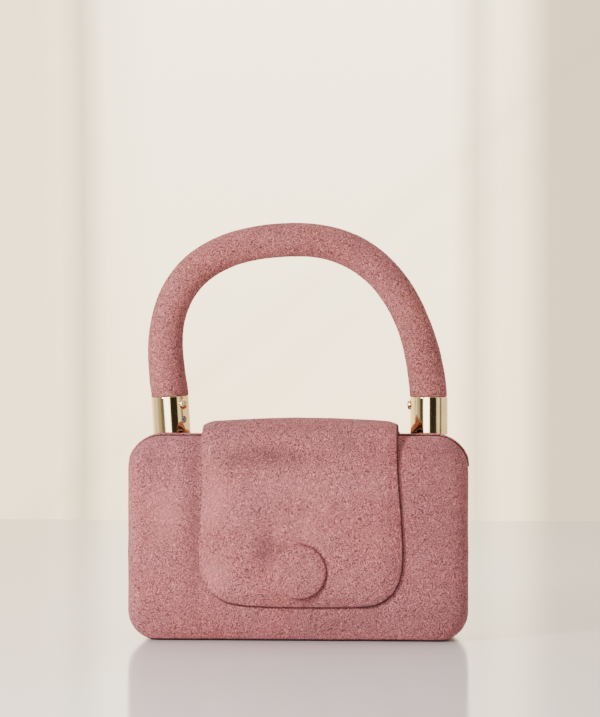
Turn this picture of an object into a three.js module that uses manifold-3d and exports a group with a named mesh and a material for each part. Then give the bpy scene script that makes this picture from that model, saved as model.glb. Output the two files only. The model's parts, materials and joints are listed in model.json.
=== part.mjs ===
// A small rigid purse in suede: two moulded cases hinged along the bottom, a padded flap that snaps
// shut over the front, and an arched handle held in turned brass ferrules.
// Millimetres, +Z up. The front faces -Y. The origin is on the underside, in the middle of the width
// and in the plane of the handle.
import * as THREE from 'three';
import { mergeVertices } from 'three/addons/utils/BufferGeometryUtils.js';
import Module from 'manifold-3d';

const wasm = await Module();
wasm.setup();

// ---- Driving dimensions -----------------------------------------------------------------------

const GAP = 0.3; // air between two pieces that touch

// The case: a box with rounded corners seen from the front and softly rounded front and back edges.
const WIDTH = 180;
const HEIGHT = 108;
const DEPTH = 62;
const LOW_CORNER = 16;
const HIGH_CORNER = 18;
const EDGE = 9;

// The wall, from the outside in.
const COVER = 1.2;
const CORE = 2.0;
const LINING = 0.8;
const CORE_AT = COVER + GAP;
const LINING_AT = CORE_AT + CORE + GAP;
const WALL = LINING_AT + LINING;

// The seam between the front and the rear case, and the lip that covers it on the rear case.
const SEAM_Y = -17;
const SEAM_GAP = 0.6;
const LIP = { proud: 0.9, thick: 0.6, wide: 2.6, lowEnd: 92 };

// The hinge along the bottom of the seam.
const HINGE = { z: 1.9, knuckle: 1.5, bore: 0.8, pin: 0.5, length: 120, knuckles: 5, play: 0.6 };
const LEAF = { low: WALL + GAP, thick: 0.8, webFrom: 0.7, webTo: 1.5, rearReach: 11, frontReach: 5.4 };
const SLOT = { half: 2.4, longer: 1.5 };
const RIVET = { shank: 1.0, head: 1.8, headHigh: 0.8, low: 1.8, spacing: 44, rearAt: 7.5, frontAt: 3.3 };

// The side gussets: one V-folded sheet at each end of the mouth.
const GUSSET = { atWall: 84.6, fold: 67.2, halfOpen: 4.8, sheet: 0.7, low: 10, high: 94 };

// The handle: an arch of two cubic stretches that meet at its top, leaning a little to one side.
const ARCH = {
  leftFoot: [-70.2, 130],
  leftPull: [-71.6, 143.9],
  leftShoulder: [-89.4, 212.8],
  top: [-0.9, 212.8],
  rightShoulder: [54.8, 212.8],
  rightPull: [67.2, 155.4],
  rightFoot: [68.9, 130]
};
const HANDLE = { sleeve: 9.0, hole: 5.8, rod: 5.2, plug: 8.2, steps: 38, buried: 2.5 };
const FERRULE = { radius: 10, wall: 1.2, high: 20.3, chamfer: 0.5, lift: 1.0 };
const SOCKETS = [
  { side: 'left', x: -69.0, lean: -0.061, turn: 50 },
  { side: 'right', x: 69.6, lean: 0, turn: -90 }
];
const FIXING = { screwZ: 16, shank: 1.3, end: 4.5, head: 2.7, headHigh: 1.3 };
const GRUB = { z: 7, radius: 1.5, hex: 0.75 };
const POST = { radius: 7.6, top: HEIGHT + 12, screw: 2.0, hole: 2.4, screwTop: HEIGHT + 6 };
const POST_HEAD = { radius: 4, high: 2.4, chamfer: 0.8, slot: 1 };
const PLATE = { near: 51, far: 75, half: 12, top: HEIGHT - WALL - 0.7, thick: 1.5 };

// The flap: a fixed tail over the top and down the back, and the moving panel in front of the axis.
const FLAP = { x: 2.3, half: 51, wide: 53.9, wideZ: 46, end: 17.6, under: HEIGHT + 3.2, front: 32 };
const FLAP_BEND = 10; // radius of the panel's inner face where it turns down over the front
const PANEL = { back: 0.8, foam: 2.0, face: 1.2 };
const PANEL_THICK = PANEL.back + GAP + PANEL.foam + GAP + PANEL.face;
const AXIS = { y: -15, z: FLAP.under + PANEL_THICK / 2, play: 0.4 };
// The tail is skived thin where it meets the panel, so that the panel can fold back over it.
const TAIL = { thick: 3.2, gap: 0.4, low: 70, rampEnd: 2, rise: 2.6, corner: 12, skive: 1.5 };

// The covered button and the magnetic snap behind it.
const BUTTON = { x: 1.7, z: 37.3, radius: 13.9, high: 3.6, straight: 0.8, skin: 1.2 };
const SNAP = { female: 9, proud: 0.5, socket: 3.7, stub: 4.6, male: 8.5, nipple: 2.9, stem: 1.5 };

// Finishes.
const finish = (color, roughness, metalness = 0) =>
  new THREE.MeshStandardMaterial({ color, roughness, metalness });
const SUEDE = finish(0xbd8a86, 0.95);
const HANDLE_SUEDE = finish(0xb47f7a, 0.95);
const LINING_CLOTH = finish(0xc9a79c, 0.85);
const BOARD = finish(0x8b8177, 0.8);
const FOAM = finish(0xd8d2c4, 0.95);
const BRASS = finish(0xd2a85c, 0.15, 1);
const STEEL = finish(0x9b9c9e, 0.35, 1);

// ---- Solids -----------------------------------------------------------------------------------

// A closed solid from a three.js geometry, its faces turned outwards.
function solid(geometry) {
  const bare = geometry.clone();
  bare.deleteAttribute('normal');
  bare.deleteAttribute('uv');
  const merged = mergeVertices(bare, 1e-4);
  const index = merged.index.array;
  const triangles = [];
  for (let i = 0; i < index.length; i += 3) {
    const [a, b, c] = [index[i], index[i + 1], index[i + 2]];
    if (a !== b && b !== c && c !== a) triangles.push(a, b, c);
  }
  const build = (triVerts) =>
    new wasm.Manifold(
      new wasm.Mesh({
        numProp: 3,
        vertProperties: new Float32Array(merged.attributes.position.array),
        triVerts: new Uint32Array(triVerts)
      })
    );
  const body = build(triangles);
  return body.volume() > 0 ? body : build(triangles.reverse());
}

function geometryOf(body) {
  const { vertProperties, triVerts } = body.getMesh();
  const geometry = new THREE.BufferGeometry();
  geometry.setAttribute('position', new THREE.BufferAttribute(vertProperties, 3));
  geometry.setIndex(new THREE.BufferAttribute(triVerts, 1));
  geometry.computeVertexNormals();
  return geometry;
}

const join = (bodies) => bodies.reduce((whole, next) => whole.add(next));
const cut = (body, tools) => tools.reduce((rest, tool) => rest.subtract(tool), body);

// A block from its lowest to its highest corner.
function block([x0, y0, z0], [x1, y1, z1]) {
  const box = new THREE.BoxGeometry(x1 - x0, y1 - y0, z1 - z0);
  return solid(box.translate((x0 + x1) / 2, (y0 + y1) / 2, (z0 + z1) / 2));
}

// A turned geometry about the Y axis: its profile is [radius, distance along the axis] points.
const turned = (profile, sides) =>
  new THREE.LatheGeometry([...profile, profile[0]].map(([r, along]) => new THREE.Vector2(r, along)), sides);

const tube = (radius, from, to) => [[0, from], [radius, from], [radius, to], [0, to]];
const ring = (inner, outer, from, to) => [[inner, from], [outer, from], [outer, to], [inner, to]];

// The same, standing on the Z axis, lying on the X axis, or kept along Y at a place on the front.
const upright = (profile, sides, x = 0) => turned(profile, sides).rotateX(Math.PI / 2).translate(x, 0, 0);
const lying = (profile, sides, y, z) => turned(profile, sides).rotateZ(-Math.PI / 2).translate(0, y, z);
const onFront = (profile, sides) => solid(turned(profile, sides).translate(BUTTON.x, 0, BUTTON.z));

// A shape drawn in X and Z, made solid from y0 to y1.
function acrossY(shape, y0, y1, curveSegments = 3) {
  const slab = new THREE.ExtrudeGeometry(shape, { depth: y1 - y0, bevelEnabled: false, curveSegments });
  return solid(slab.rotateX(Math.PI / 2).translate(0, y1, 0));
}

// A shape drawn in Y and Z, made solid from x0 to x1.
function acrossX(shape, x0, x1, curveSegments = 3) {
  const bar = new THREE.ExtrudeGeometry(shape, { depth: x1 - x0, bevelEnabled: false, curveSegments });
  return solid(bar.rotateX(Math.PI / 2).rotateZ(Math.PI / 2).translate(x0, 0, 0));
}

function polygon(points) {
  return new THREE.Shape(points.map(([a, b]) => new THREE.Vector2(a, b)));
}

function group(name, parent) {
  const made = new THREE.Group();
  made.name = name;
  parent.add(made);
  return made;
}

function piece(name, body, material, parent) {
  const mesh = new THREE.Mesh(geometryOf(body), material);
  mesh.name = name;
  parent.add(mesh);
  return mesh;
}

// ---- The two cases ----------------------------------------------------------------------------

// The case's front view, shrunk by inset, as a path round its four rounded corners.
function traceCase(path, inset) {
  const side = WIDTH / 2 - inset;
  const low = LOW_CORNER - inset;
  const high = HIGH_CORNER - inset;
  path.moveTo(-side + low, inset);
  path.absarc(side - low, inset + low, low, -Math.PI / 2, 0, false);
  path.absarc(side - high, HEIGHT - inset - high, high, 0, Math.PI / 2, false);
  path.absarc(-side + high, HEIGHT - inset - high, high, Math.PI / 2, Math.PI, false);
  path.absarc(-side + low, inset + low, low, Math.PI, Math.PI * 1.5, false);
  return path;
}

// The whole case shrunk by inset, its front and back edges rounded in edgeSteps.
function pillow(inset, edgeSteps, cornerSteps) {
  const round = EDGE - inset;
  const slab = new THREE.ExtrudeGeometry(traceCase(new THREE.Shape(), inset), {
    depth: DEPTH - 2 * EDGE,
    bevelThickness: round,
    bevelSize: round,
    bevelOffset: -round,
    bevelSegments: edgeSteps,
    curveSegments: cornerSteps
  });
  return solid(slab.rotateX(Math.PI / 2).translate(0, DEPTH / 2 - EDGE, 0));
}

const frontSpace = block([-WIDTH, -DEPTH, -1], [WIDTH, SEAM_Y - SEAM_GAP / 2, 2 * HEIGHT]);
const rearSpace = block([-WIDTH, SEAM_Y + SEAM_GAP / 2, -1], [WIDTH, DEPTH, 2 * HEIGHT]);
const hingeSlot = block(
  [-HINGE.length / 2 - SLOT.longer, SEAM_Y - SLOT.half, -1],
  [HINGE.length / 2 + SLOT.longer, SEAM_Y + SLOT.half, WALL + 1]
);

// One layer of the wall as a closed box, before it is parted at the seam. The skin is the finest.
const layer = (outside, inside, ...steps) =>
  pillow(outside, ...steps).subtract(pillow(inside, ...steps)).subtract(hingeSlot);
const coverBox = layer(0, COVER, 4, 3);
const coreBox = layer(CORE_AT, CORE_AT + CORE, 3, 2);
const liningBox = layer(LINING_AT, WALL, 3, 2);

// Holes for the handle's two screws in the top, the rivets in the bottom and the snap in the front.
const throughTop = tube(POST.hole, HEIGHT - 2 * WALL, HEIGHT + 1);
const screwHoles = SOCKETS.map(({ x }) => solid(upright(throughTop, 12, x)));
const rivetPlaces = [-1, 0, 1].map((step) => step * RIVET.spacing);
const rivetY = { rear: SEAM_Y + RIVET.rearAt, front: SEAM_Y - RIVET.frontAt };
const rivetHoles = (side) =>
  rivetPlaces.map((x) => {
    const hole = upright(tube(RIVET.shank + GAP, RIVET.low - GAP, 3 * WALL), 10);
    return solid(hole.translate(x, rivetY[side], 0));
  });
const snapWindow = onFront(tube(SNAP.female + GAP, -DEPTH / 2 - 1, -DEPTH / 2 + COVER + 0.1), 20);
const snapHole = onFront(tube(SNAP.stub + GAP, -DEPTH / 2, -DEPTH / 2 + WALL + 1), 16);

const rearHoles = [...screwHoles, ...rivetHoles('rear')];
const frontHoles = [snapHole, ...rivetHoles('front')];

const purse = new THREE.Group();
purse.name = 'purse';
const rearCase = group('rear_case', purse);
const frontCase = group('front_case', purse);

piece('rear_cover', cut(coverBox.intersect(rearSpace), screwHoles), SUEDE, rearCase);
piece('rear_shell', cut(coreBox.intersect(rearSpace), rearHoles), BOARD, rearCase);
piece('rear_lining', cut(liningBox.intersect(rearSpace), rearHoles), LINING_CLOTH, rearCase);
piece('front_cover', cut(coverBox.intersect(frontSpace), [snapWindow]), SUEDE, frontCase);
piece('front_shell', cut(coreBox.intersect(frontSpace), frontHoles), BOARD, frontCase);
piece('front_lining', cut(liningBox.intersect(frontSpace), frontHoles), LINING_CLOTH, frontCase);

// The lip: a thin band that stands round the top of the rear case's rim and down its two corners.
const lipShape = traceCase(new THREE.Shape(), -LIP.proud);
lipShape.holes.push(traceCase(new THREE.Path(), LIP.thick - LIP.proud));
const lipBand = acrossY(lipShape, SEAM_Y + SEAM_GAP / 2, SEAM_Y + SEAM_GAP / 2 + LIP.wide);
const aboveLipEnd = block([-WIDTH, -DEPTH, LIP.lowEnd], [WIDTH, DEPTH, 2 * HEIGHT]);
piece('mouth_binding', lipBand.intersect(aboveLipEnd), SUEDE, rearCase);

// The gussets: a folded sheet from the rear wall to the front wall, its fold pointing inwards.
const insideCase = pillow(WALL + 2 * GAP, 3, 2);
for (const [side, sign] of [['left', -1], ['right', 1]]) {
  const { atWall, fold, halfOpen, sheet, low, high } = GUSSET;
  const inner = fold + sheet * (atWall - fold) / halfOpen;
  const outline = [
    [atWall, SEAM_Y + halfOpen],
    [fold, SEAM_Y],
    [atWall, SEAM_Y - halfOpen],
    [atWall, SEAM_Y - halfOpen + sheet],
    [inner, SEAM_Y],
    [atWall, SEAM_Y + halfOpen - sheet]
  ];
  const folded = polygon(outline.map(([x, y]) => [sign * x, y]));
  const sheetGeometry = new THREE.ExtrudeGeometry(folded, { depth: high - low, bevelEnabled: false });
  const body = solid(sheetGeometry.translate(0, 0, low)).intersect(insideCase);
  piece(`gusset_${side}`, body, LINING_CLOTH, rearCase);
}

// ---- The bottom hinge -------------------------------------------------------------------------

const hinge = group('hinge', purse);
const knucklePitch = HINGE.length / HINGE.knuckles;
const knuckleFrom = (i) => -HINGE.length / 2 + i * knucklePitch + HINGE.play / 2;

// One leaf: a plate on the lining, a web down into the slot, and every second knuckle of the hinge.
function hingeLeaf(side, first, reach) {
  const away = side === 'rear' ? 1 : -1;
  const top = LEAF.low + LEAF.thick;
  const webNear = SEAM_Y + away * LEAF.webFrom;
  const webFar = SEAM_Y + away * LEAF.webTo;
  const plateFar = SEAM_Y + away * reach;
  const spanX = HINGE.length / 2;
  const clearZ = HINGE.z + HINGE.knuckle + GAP;
  const box = (x0, x1, ya, yb, z0, z1) =>
    block([x0, Math.min(ya, yb), z0], [x1, Math.max(ya, yb), z1]);
  const parts = [
    box(-spanX, spanX, webNear, plateFar, LEAF.low, top),
    box(-spanX, spanX, webNear, webFar, clearZ, top)
  ];
  for (let i = first; i < HINGE.knuckles; i += 2) {
    const from = knuckleFrom(i);
    const to = from + knucklePitch - HINGE.play;
    parts.push(box(from, to, webNear, webFar, HINGE.z, top));
    parts.push(solid(lying(tube(HINGE.knuckle, from, to), 14, SEAM_Y, HINGE.z)));
  }
  const bore = solid(lying(tube(HINGE.bore, -HINGE.length, HINGE.length), 12, SEAM_Y, HINGE.z));
  return cut(join(parts), [bore, ...rivetHoles(side)]);
}

piece('hinge_leaf_rear', hingeLeaf('rear', 0, LEAF.rearReach), STEEL, hinge);
piece('hinge_leaf_front', hingeLeaf('front', 1, LEAF.frontReach), STEEL, hinge);
const pinHalf = HINGE.length / 2 + 0.5;
piece('hinge_pin', solid(lying(tube(HINGE.pin, -pinHalf, pinHalf), 10, SEAM_Y, HINGE.z)), STEEL, hinge);

const leafTop = LEAF.low + LEAF.thick + GAP;
const rivetProfile = [
  [0, RIVET.low],
  [RIVET.shank, RIVET.low],
  [RIVET.shank, leafTop],
  [RIVET.head, leafTop],
  [RIVET.head * 0.75, leafTop + RIVET.headHigh * 0.8],
  [0, leafTop + RIVET.headHigh]
];
for (const side of ['rear', 'front']) {
  rivetPlaces.forEach((x, i) => {
    const rivet = piece(`hinge_rivet_${side}_${i + 1}`, solid(upright(rivetProfile, 10)), STEEL, hinge);
    rivet.position.set(x, rivetY[side], 0);
  });
}

// ---- The handle -------------------------------------------------------------------------------

const handle = group('handle', purse);
const atZ = ([x, z], lower = 0) => new THREE.Vector3(x, 0, z - lower);

// The handle's centre line. With an extra depth it also runs straight down into the two ferrules.
function archPath(depth = 0) {
  const { leftFoot, leftPull, leftShoulder, top, rightShoulder, rightPull, rightFoot } = ARCH;
  const stretch = (...points) => new THREE.CubicBezierCurve3(...points.map((point) => atZ(point)));
  const path = new THREE.CurvePath();
  if (depth) path.add(new THREE.LineCurve3(atZ(leftFoot, depth), atZ(leftFoot)));
  path.add(stretch(leftFoot, leftPull, leftShoulder, top));
  path.add(stretch(top, rightShoulder, rightPull, rightFoot));
  if (depth) path.add(new THREE.LineCurve3(atZ(rightFoot), atZ(rightFoot, depth)));
  return path;
}

function disc(radius) {
  const shape = new THREE.Shape();
  shape.absarc(0, 0, radius, 0, Math.PI * 2, false);
  return shape;
}

function alongArch(shape, depth, curveSegments) {
  const options = { steps: HANDLE.steps, bevelEnabled: false, curveSegments, extrudePath: archPath(depth) };
  return solid(new THREE.ExtrudeGeometry(shape, options));
}

const sleeveShape = disc(HANDLE.sleeve);
sleeveShape.holes.push(new THREE.Path().absarc(0, 0, HANDLE.hole, 0, Math.PI * 2, true));
piece('handle_sleeve', alongArch(sleeveShape, 0, 6), HANDLE_SUEDE, handle);

// Everything at one foot of the handle is drawn on the ferrule's own axis, from its lower end up,
// and leans with it. A radial piece lies on the Y axis, turned to its place round the ferrule.
const radial = (profile, sides, turnDegrees, z) =>
  turned(profile, sides).rotateZ(Math.PI + THREE.MathUtils.degToRad(turnDegrees)).translate(0, 0, z);

const ferruleProfile = [
  [FERRULE.radius - FERRULE.wall, 0],
  [FERRULE.radius - FERRULE.chamfer, 0],
  [FERRULE.radius, FERRULE.chamfer],
  [FERRULE.radius, FERRULE.high - FERRULE.chamfer],
  [FERRULE.radius - FERRULE.chamfer, FERRULE.high],
  [FERRULE.radius - FERRULE.wall, FERRULE.high]
];

const headAt = FERRULE.radius + GAP;
const screwProfile = [
  [0, FIXING.end],
  [FIXING.shank, FIXING.end],
  [FIXING.shank, headAt],
  [FIXING.head, headAt],
  [FIXING.head * 0.92, headAt + FIXING.headHigh * 0.5],
  [FIXING.head * 0.6, headAt + FIXING.headHigh * 0.9],
  [0, headAt + FIXING.headHigh]
];
const driverSlot = block([-4, headAt + FIXING.headHigh - 0.6, -0.35], [4, headAt + 3, 0.35]);
const slottedScrew = solid(turned(screwProfile, 16)).subtract(driverSlot);
const grubFrom = POST.radius + 0.7;
const grubTo = FERRULE.radius - 0.4;
const grubScrew = cut(solid(turned(tube(GRUB.radius, grubFrom, grubTo), 12)), [
  solid(turned(tube(GRUB.hex, grubTo - 0.8, grubTo + 1), 6))
]);

const plugs = SOCKETS.map(({ side, x, lean, turn }) => {
  const foot = group(`foot_${side}`, handle);
  foot.position.set(x, 0, HEIGHT + FERRULE.lift);
  foot.rotation.y = lean;
  const tap = (radius, z, from) => solid(radial(tube(radius, from, FERRULE.radius + 1), 12, turn, z));
  const ferrule = cut(solid(upright(ferruleProfile, 28)), [
    tap(FIXING.shank + GAP, FIXING.screwZ, 6),
    tap(GRUB.radius + GAP, GRUB.z, 6)
  ]);
  piece(`ferrule_${side}`, ferrule, BRASS, foot);
  const turnZ = Math.PI + THREE.MathUtils.degToRad(turn);
  const screw = piece(`ferrule_screw_${side}`, slottedScrew, BRASS, foot);
  screw.position.z = FIXING.screwZ;
  screw.rotation.z = turnZ;
  const grub = piece(`grub_screw_${side}`, grubScrew, STEEL, foot);
  grub.position.z = GRUB.z;
  grub.rotation.z = turnZ;

  const plug = upright(tube(HANDLE.plug, FIXING.screwZ - 3.8, FERRULE.high), 20);
  const bored = solid(plug).subtract(tap(FIXING.shank + GAP, FIXING.screwZ, 4));
  foot.updateMatrix();
  return solid(geometryOf(bored).applyMatrix4(foot.matrix));
});
const rodBore = SOCKETS.map(({ x, lean, turn }) => {
  const shaft = radial(tube(FIXING.shank + GAP, 4, FERRULE.radius), 12, turn, FIXING.screwZ);
  return solid(shaft.rotateY(lean).translate(x, 0, HEIGHT + FERRULE.lift));
});
const rod = alongArch(disc(HANDLE.rod), HANDLE.buried, 4);
piece('handle_core', cut(join([rod, ...plugs]), rodBore), BOARD, handle);

// The fixings under each foot: a post on the case, its screw and its plate inside the case.
const fixings = group('fixings', rearCase);
for (const { side, x } of SOCKETS) {
  const sign = Math.sign(x);
  const postBody = upright(tube(POST.radius, HEIGHT + GAP, POST.top), 20, x);
  const postBore = upright(tube(POST.screw + GAP, HEIGHT - 1, POST.screwTop + 1), 12, x);
  piece(`base_post_${side}`, solid(postBody).subtract(solid(postBore)), STEEL, fixings);

  const plateLow = PLATE.top - PLATE.thick;
  const [x0, x1] = [sign * PLATE.near, sign * PLATE.far].sort((a, b) => a - b);
  const plate = block([x0, -PLATE.half, plateLow], [x1, PLATE.half, PLATE.top]);
  piece(`backing_plate_${side}`, cut(plate, screwHoles), STEEL, fixings);

  const under = plateLow - GAP;
  const { radius, high, chamfer, slot } = POST_HEAD;
  const screwShape = [
    [0, under - high],
    [radius - chamfer, under - high],
    [radius, under - high + chamfer],
    [radius, under],
    [POST.screw, under],
    [POST.screw, POST.screwTop],
    [0, POST.screwTop]
  ];
  const crossSlot = block([x - 5, -slot / 2, under - 3], [x + 5, slot / 2, under - high + slot]);
  piece(`post_screw_${side}`, solid(upright(screwShape, 16, x)).subtract(crossSlot), STEEL, fixings);
}

// ---- The flap ---------------------------------------------------------------------------------

// The tail: from just behind the axis over the top of the case and down its back.
const tailEndY = AXIS.y + PANEL_THICK / 2 + AXIS.play;
const tailUnder = HEIGHT + TAIL.gap;
const tailBack = DEPTH / 2 + TAIL.gap;
const bendY = DEPTH / 2 - EDGE;
const bendZ = HEIGHT - EDGE;
const rampTop = (y) =>
  tailUnder + TAIL.thick + (TAIL.rise * (TAIL.rampEnd - y)) / (TAIL.rampEnd - tailEndY);
const tailProfile = new THREE.Shape();
tailProfile.moveTo(tailEndY, tailUnder + TAIL.rise);
tailProfile.lineTo(TAIL.rampEnd, tailUnder);
tailProfile.absarc(bendY, bendZ, EDGE + TAIL.gap, Math.PI / 2, 0, true);
tailProfile.lineTo(tailBack, TAIL.low);
tailProfile.lineTo(tailBack + TAIL.thick, TAIL.low);
tailProfile.absarc(bendY, bendZ, EDGE + TAIL.gap + TAIL.thick, 0, Math.PI / 2, false);
tailProfile.lineTo(TAIL.rampEnd, tailUnder + TAIL.thick);
tailProfile.lineTo(tailEndY + TAIL.skive, rampTop(tailEndY + TAIL.skive));
tailProfile.lineTo(tailEndY, rampTop(tailEndY) - TAIL.skive);

const tailOutline = new THREE.Shape();
const tailReach = FLAP.half - TAIL.corner;
const tailCornerZ = TAIL.low + TAIL.corner;
tailOutline.moveTo(FLAP.x - FLAP.half, 2 * HEIGHT);
tailOutline.lineTo(FLAP.x - FLAP.half, HEIGHT);
tailOutline.absarc(FLAP.x - tailReach, tailCornerZ, TAIL.corner, Math.PI, Math.PI * 1.5, false);
tailOutline.absarc(FLAP.x + tailReach, tailCornerZ, TAIL.corner, Math.PI * 1.5, Math.PI * 2, false);
tailOutline.lineTo(FLAP.x + FLAP.half, 2 * HEIGHT);
const tail = acrossX(tailProfile, -WIDTH / 2, WIDTH / 2).intersect(acrossY(tailOutline, -DEPTH, DEPTH));
piece('flap_tail', tail, SUEDE, rearCase);

// The panel's side view between two depths in its thickness: back to the axis, over the bend and
// down the front.
function panelProfile(from, to) {
  const [backY, bendCentreY] = [AXIS.y + PANEL_THICK, FLAP_BEND - FLAP.front];
  const bendCentreZ = FLAP.under - FLAP_BEND;
  const shape = new THREE.Shape();
  shape.moveTo(backY, FLAP.under + to);
  shape.lineTo(bendCentreY, FLAP.under + to);
  shape.absarc(bendCentreY, bendCentreZ, FLAP_BEND + to, Math.PI / 2, Math.PI, false);
  shape.lineTo(-FLAP.front - to, 0);
  shape.lineTo(-FLAP.front - from, 0);
  shape.absarc(bendCentreY, bendCentreZ, FLAP_BEND + from, Math.PI, Math.PI / 2, true);
  shape.lineTo(backY, FLAP.under + from);
  return shape;
}

// The panel's front view: nearly straight sides that widen downwards, and a soft U-shaped end.
function panelOutline(inset) {
  const half = FLAP.half - inset;
  const wide = FLAP.wide - inset;
  const low = FLAP.end + inset;
  const [left, right] = [FLAP.x - wide, FLAP.x + wide];
  const shape = new THREE.Shape();
  shape.moveTo(FLAP.x - half, 2 * HEIGHT);
  shape.lineTo(FLAP.x - half, HEIGHT - 10);
  shape.bezierCurveTo(FLAP.x - half, 78, left, 62, left, FLAP.wideZ);
  shape.bezierCurveTo(left, low + 9.5, left + 7, low + 1.5, left + 23, low + 0.8);
  shape.quadraticCurveTo(FLAP.x - 14, low, FLAP.x, low);
  shape.quadraticCurveTo(FLAP.x + 14, low, right - 23, low + 0.8);
  shape.bezierCurveTo(right - 7, low + 1.5, right, low + 9.5, right, FLAP.wideZ);
  shape.bezierCurveTo(right, 62, FLAP.x + half, 78, FLAP.x + half, HEIGHT - 10);
  shape.lineTo(FLAP.x + half, 2 * HEIGHT);
  return shape;
}

const ahead = block([-WIDTH, -DEPTH, -1], [WIDTH, AXIS.y, 2 * HEIGHT]);
const knuckleRound = solid(lying(tube(PANEL_THICK / 2, -WIDTH, WIDTH), 16, AXIS.y, AXIS.z));
const panelReach = ahead.add(knuckleRound);
function panelLayer(from, to, inset) {
  const bent = acrossX(panelProfile(from, to), -WIDTH / 2, WIDTH / 2);
  return bent.intersect(acrossY(panelOutline(inset), -DEPTH, 0, 7)).intersect(panelReach);
}

const foamFrom = PANEL.back + GAP;
const faceFrom = foamFrom + PANEL.foam + GAP;
const backFace = -FLAP.front; // the panel's inner face
const foamFront = backFace - foamFrom - PANEL.foam;
const flap = group('flap', purse);
const stemHole = onFront(tube(SNAP.stem + GAP, backFace - 8, backFace + 1), 12);
const washerSeat = onFront(tube(6.3, foamFront - 0.1, foamFront + 0.9), 16);
const maleSeat = onFront(tube(SNAP.male + GAP, backFace - foamFrom, backFace + 1), 20);
piece('flap_panel_back', cut(panelLayer(0, PANEL.back, 1), [maleSeat]), LINING_CLOTH, flap);
const foam = cut(panelLayer(foamFrom, foamFrom + PANEL.foam, 1.5), [stemHole, washerSeat]);
piece('flap_panel_foam', foam, FOAM, flap);
piece('flap_panel_face', cut(panelLayer(faceFrom, PANEL_THICK, 0), [stemHole]), SUEDE, flap);

// ---- The covered button and its snap ----------------------------------------------------------

// A quarter of an ellipse from the rim of a dome to its top, measured out from the panel's face.
const panelFace = backFace - PANEL_THICK;
const dome = (radius, high, from) =>
  [0, 1, 2, 3, 4, 5].map((i) => {
    const angle = (i / 5) * (Math.PI / 2);
    return [radius * Math.cos(angle), panelFace - from - high * Math.sin(angle)];
  });
const capHigh = BUTTON.high - BUTTON.straight;
const capHollow = BUTTON.radius - BUTTON.skin;
const capProfile = [
  [capHollow, panelFace - GAP],
  [BUTTON.radius, panelFace - GAP],
  ...dome(BUTTON.radius, capHigh, BUTTON.straight),
  ...dome(capHollow, capHigh - BUTTON.skin, BUTTON.straight).reverse()
];
piece('button_cover', onFront(capProfile, 26), SUEDE, flap);

const coreProfile = [
  [0, backFace - foamFrom - 0.2],
  [SNAP.stem, backFace - foamFrom - 0.2],
  [SNAP.stem, panelFace - GAP],
  [capHollow - GAP, panelFace - GAP],
  ...dome(capHollow - GAP, 1.3, 0.6)
];
piece('button_core', onFront(coreProfile, 24), STEEL, flap);

const maleFace = backFace + 0.1;
const maleProfile = [
  [0, maleFace - 0.8],
  [SNAP.male, maleFace - 0.8],
  [SNAP.male, maleFace],
  [SNAP.nipple, maleFace],
  [SNAP.nipple, maleFace + 2],
  [SNAP.nipple - 0.5, maleFace + 2.5],
  [0, maleFace + 2.5]
];
piece('snap_male', onFront(maleProfile, 20), BRASS, flap);
const maleWasher = onFront(ring(SNAP.stem + GAP, 6, foamFront + 0.1, foamFront + 0.6), 16);
piece('snap_male_washer', maleWasher, STEEL, flap);

const caseFace = -DEPTH / 2;
const insideFace = caseFace + WALL;
const femaleProfile = [
  [SNAP.socket, caseFace - SNAP.proud],
  [SNAP.female, caseFace - SNAP.proud],
  [SNAP.female, caseFace + 1.1],
  [SNAP.stub, caseFace + 1.1],
  [SNAP.stub, insideFace + 0.2],
  [2.7, insideFace + 0.2],
  [2.7, insideFace + 1.5],
  [0, insideFace + 1.5],
  [0, caseFace + 2.6],
  [SNAP.socket, caseFace + 2.6]
];
piece('snap_female', onFront(femaleProfile, 20), BRASS, frontCase);
const femaleWasher = onFront(ring(3.0, 8, insideFace + GAP + 0.2, insideFace + 1.1), 18);
piece('snap_female_washer', femaleWasher, STEEL, frontCase);

export default purse;
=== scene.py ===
# %% [markdown]
# # A small suede purse with an arched handle
# The purse is a stiff box in two halves, hinged along the bottom. A padded flap comes over the top
# from the back and snaps shut on the front under a covered button. The handle is a stiff tube in
# suede, held by two turned brass ferrules.
#
# The frame holds every hard part at its real place, in metres, with +X to the right, -Y to the front
# and +Z up. Everything below is built round that frame, so a size is read from it where it can be.

# %% Load the frame
import json
import math

import bmesh
import bpy
import numpy as np
from mathutils import Matrix, Vector, noise


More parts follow.
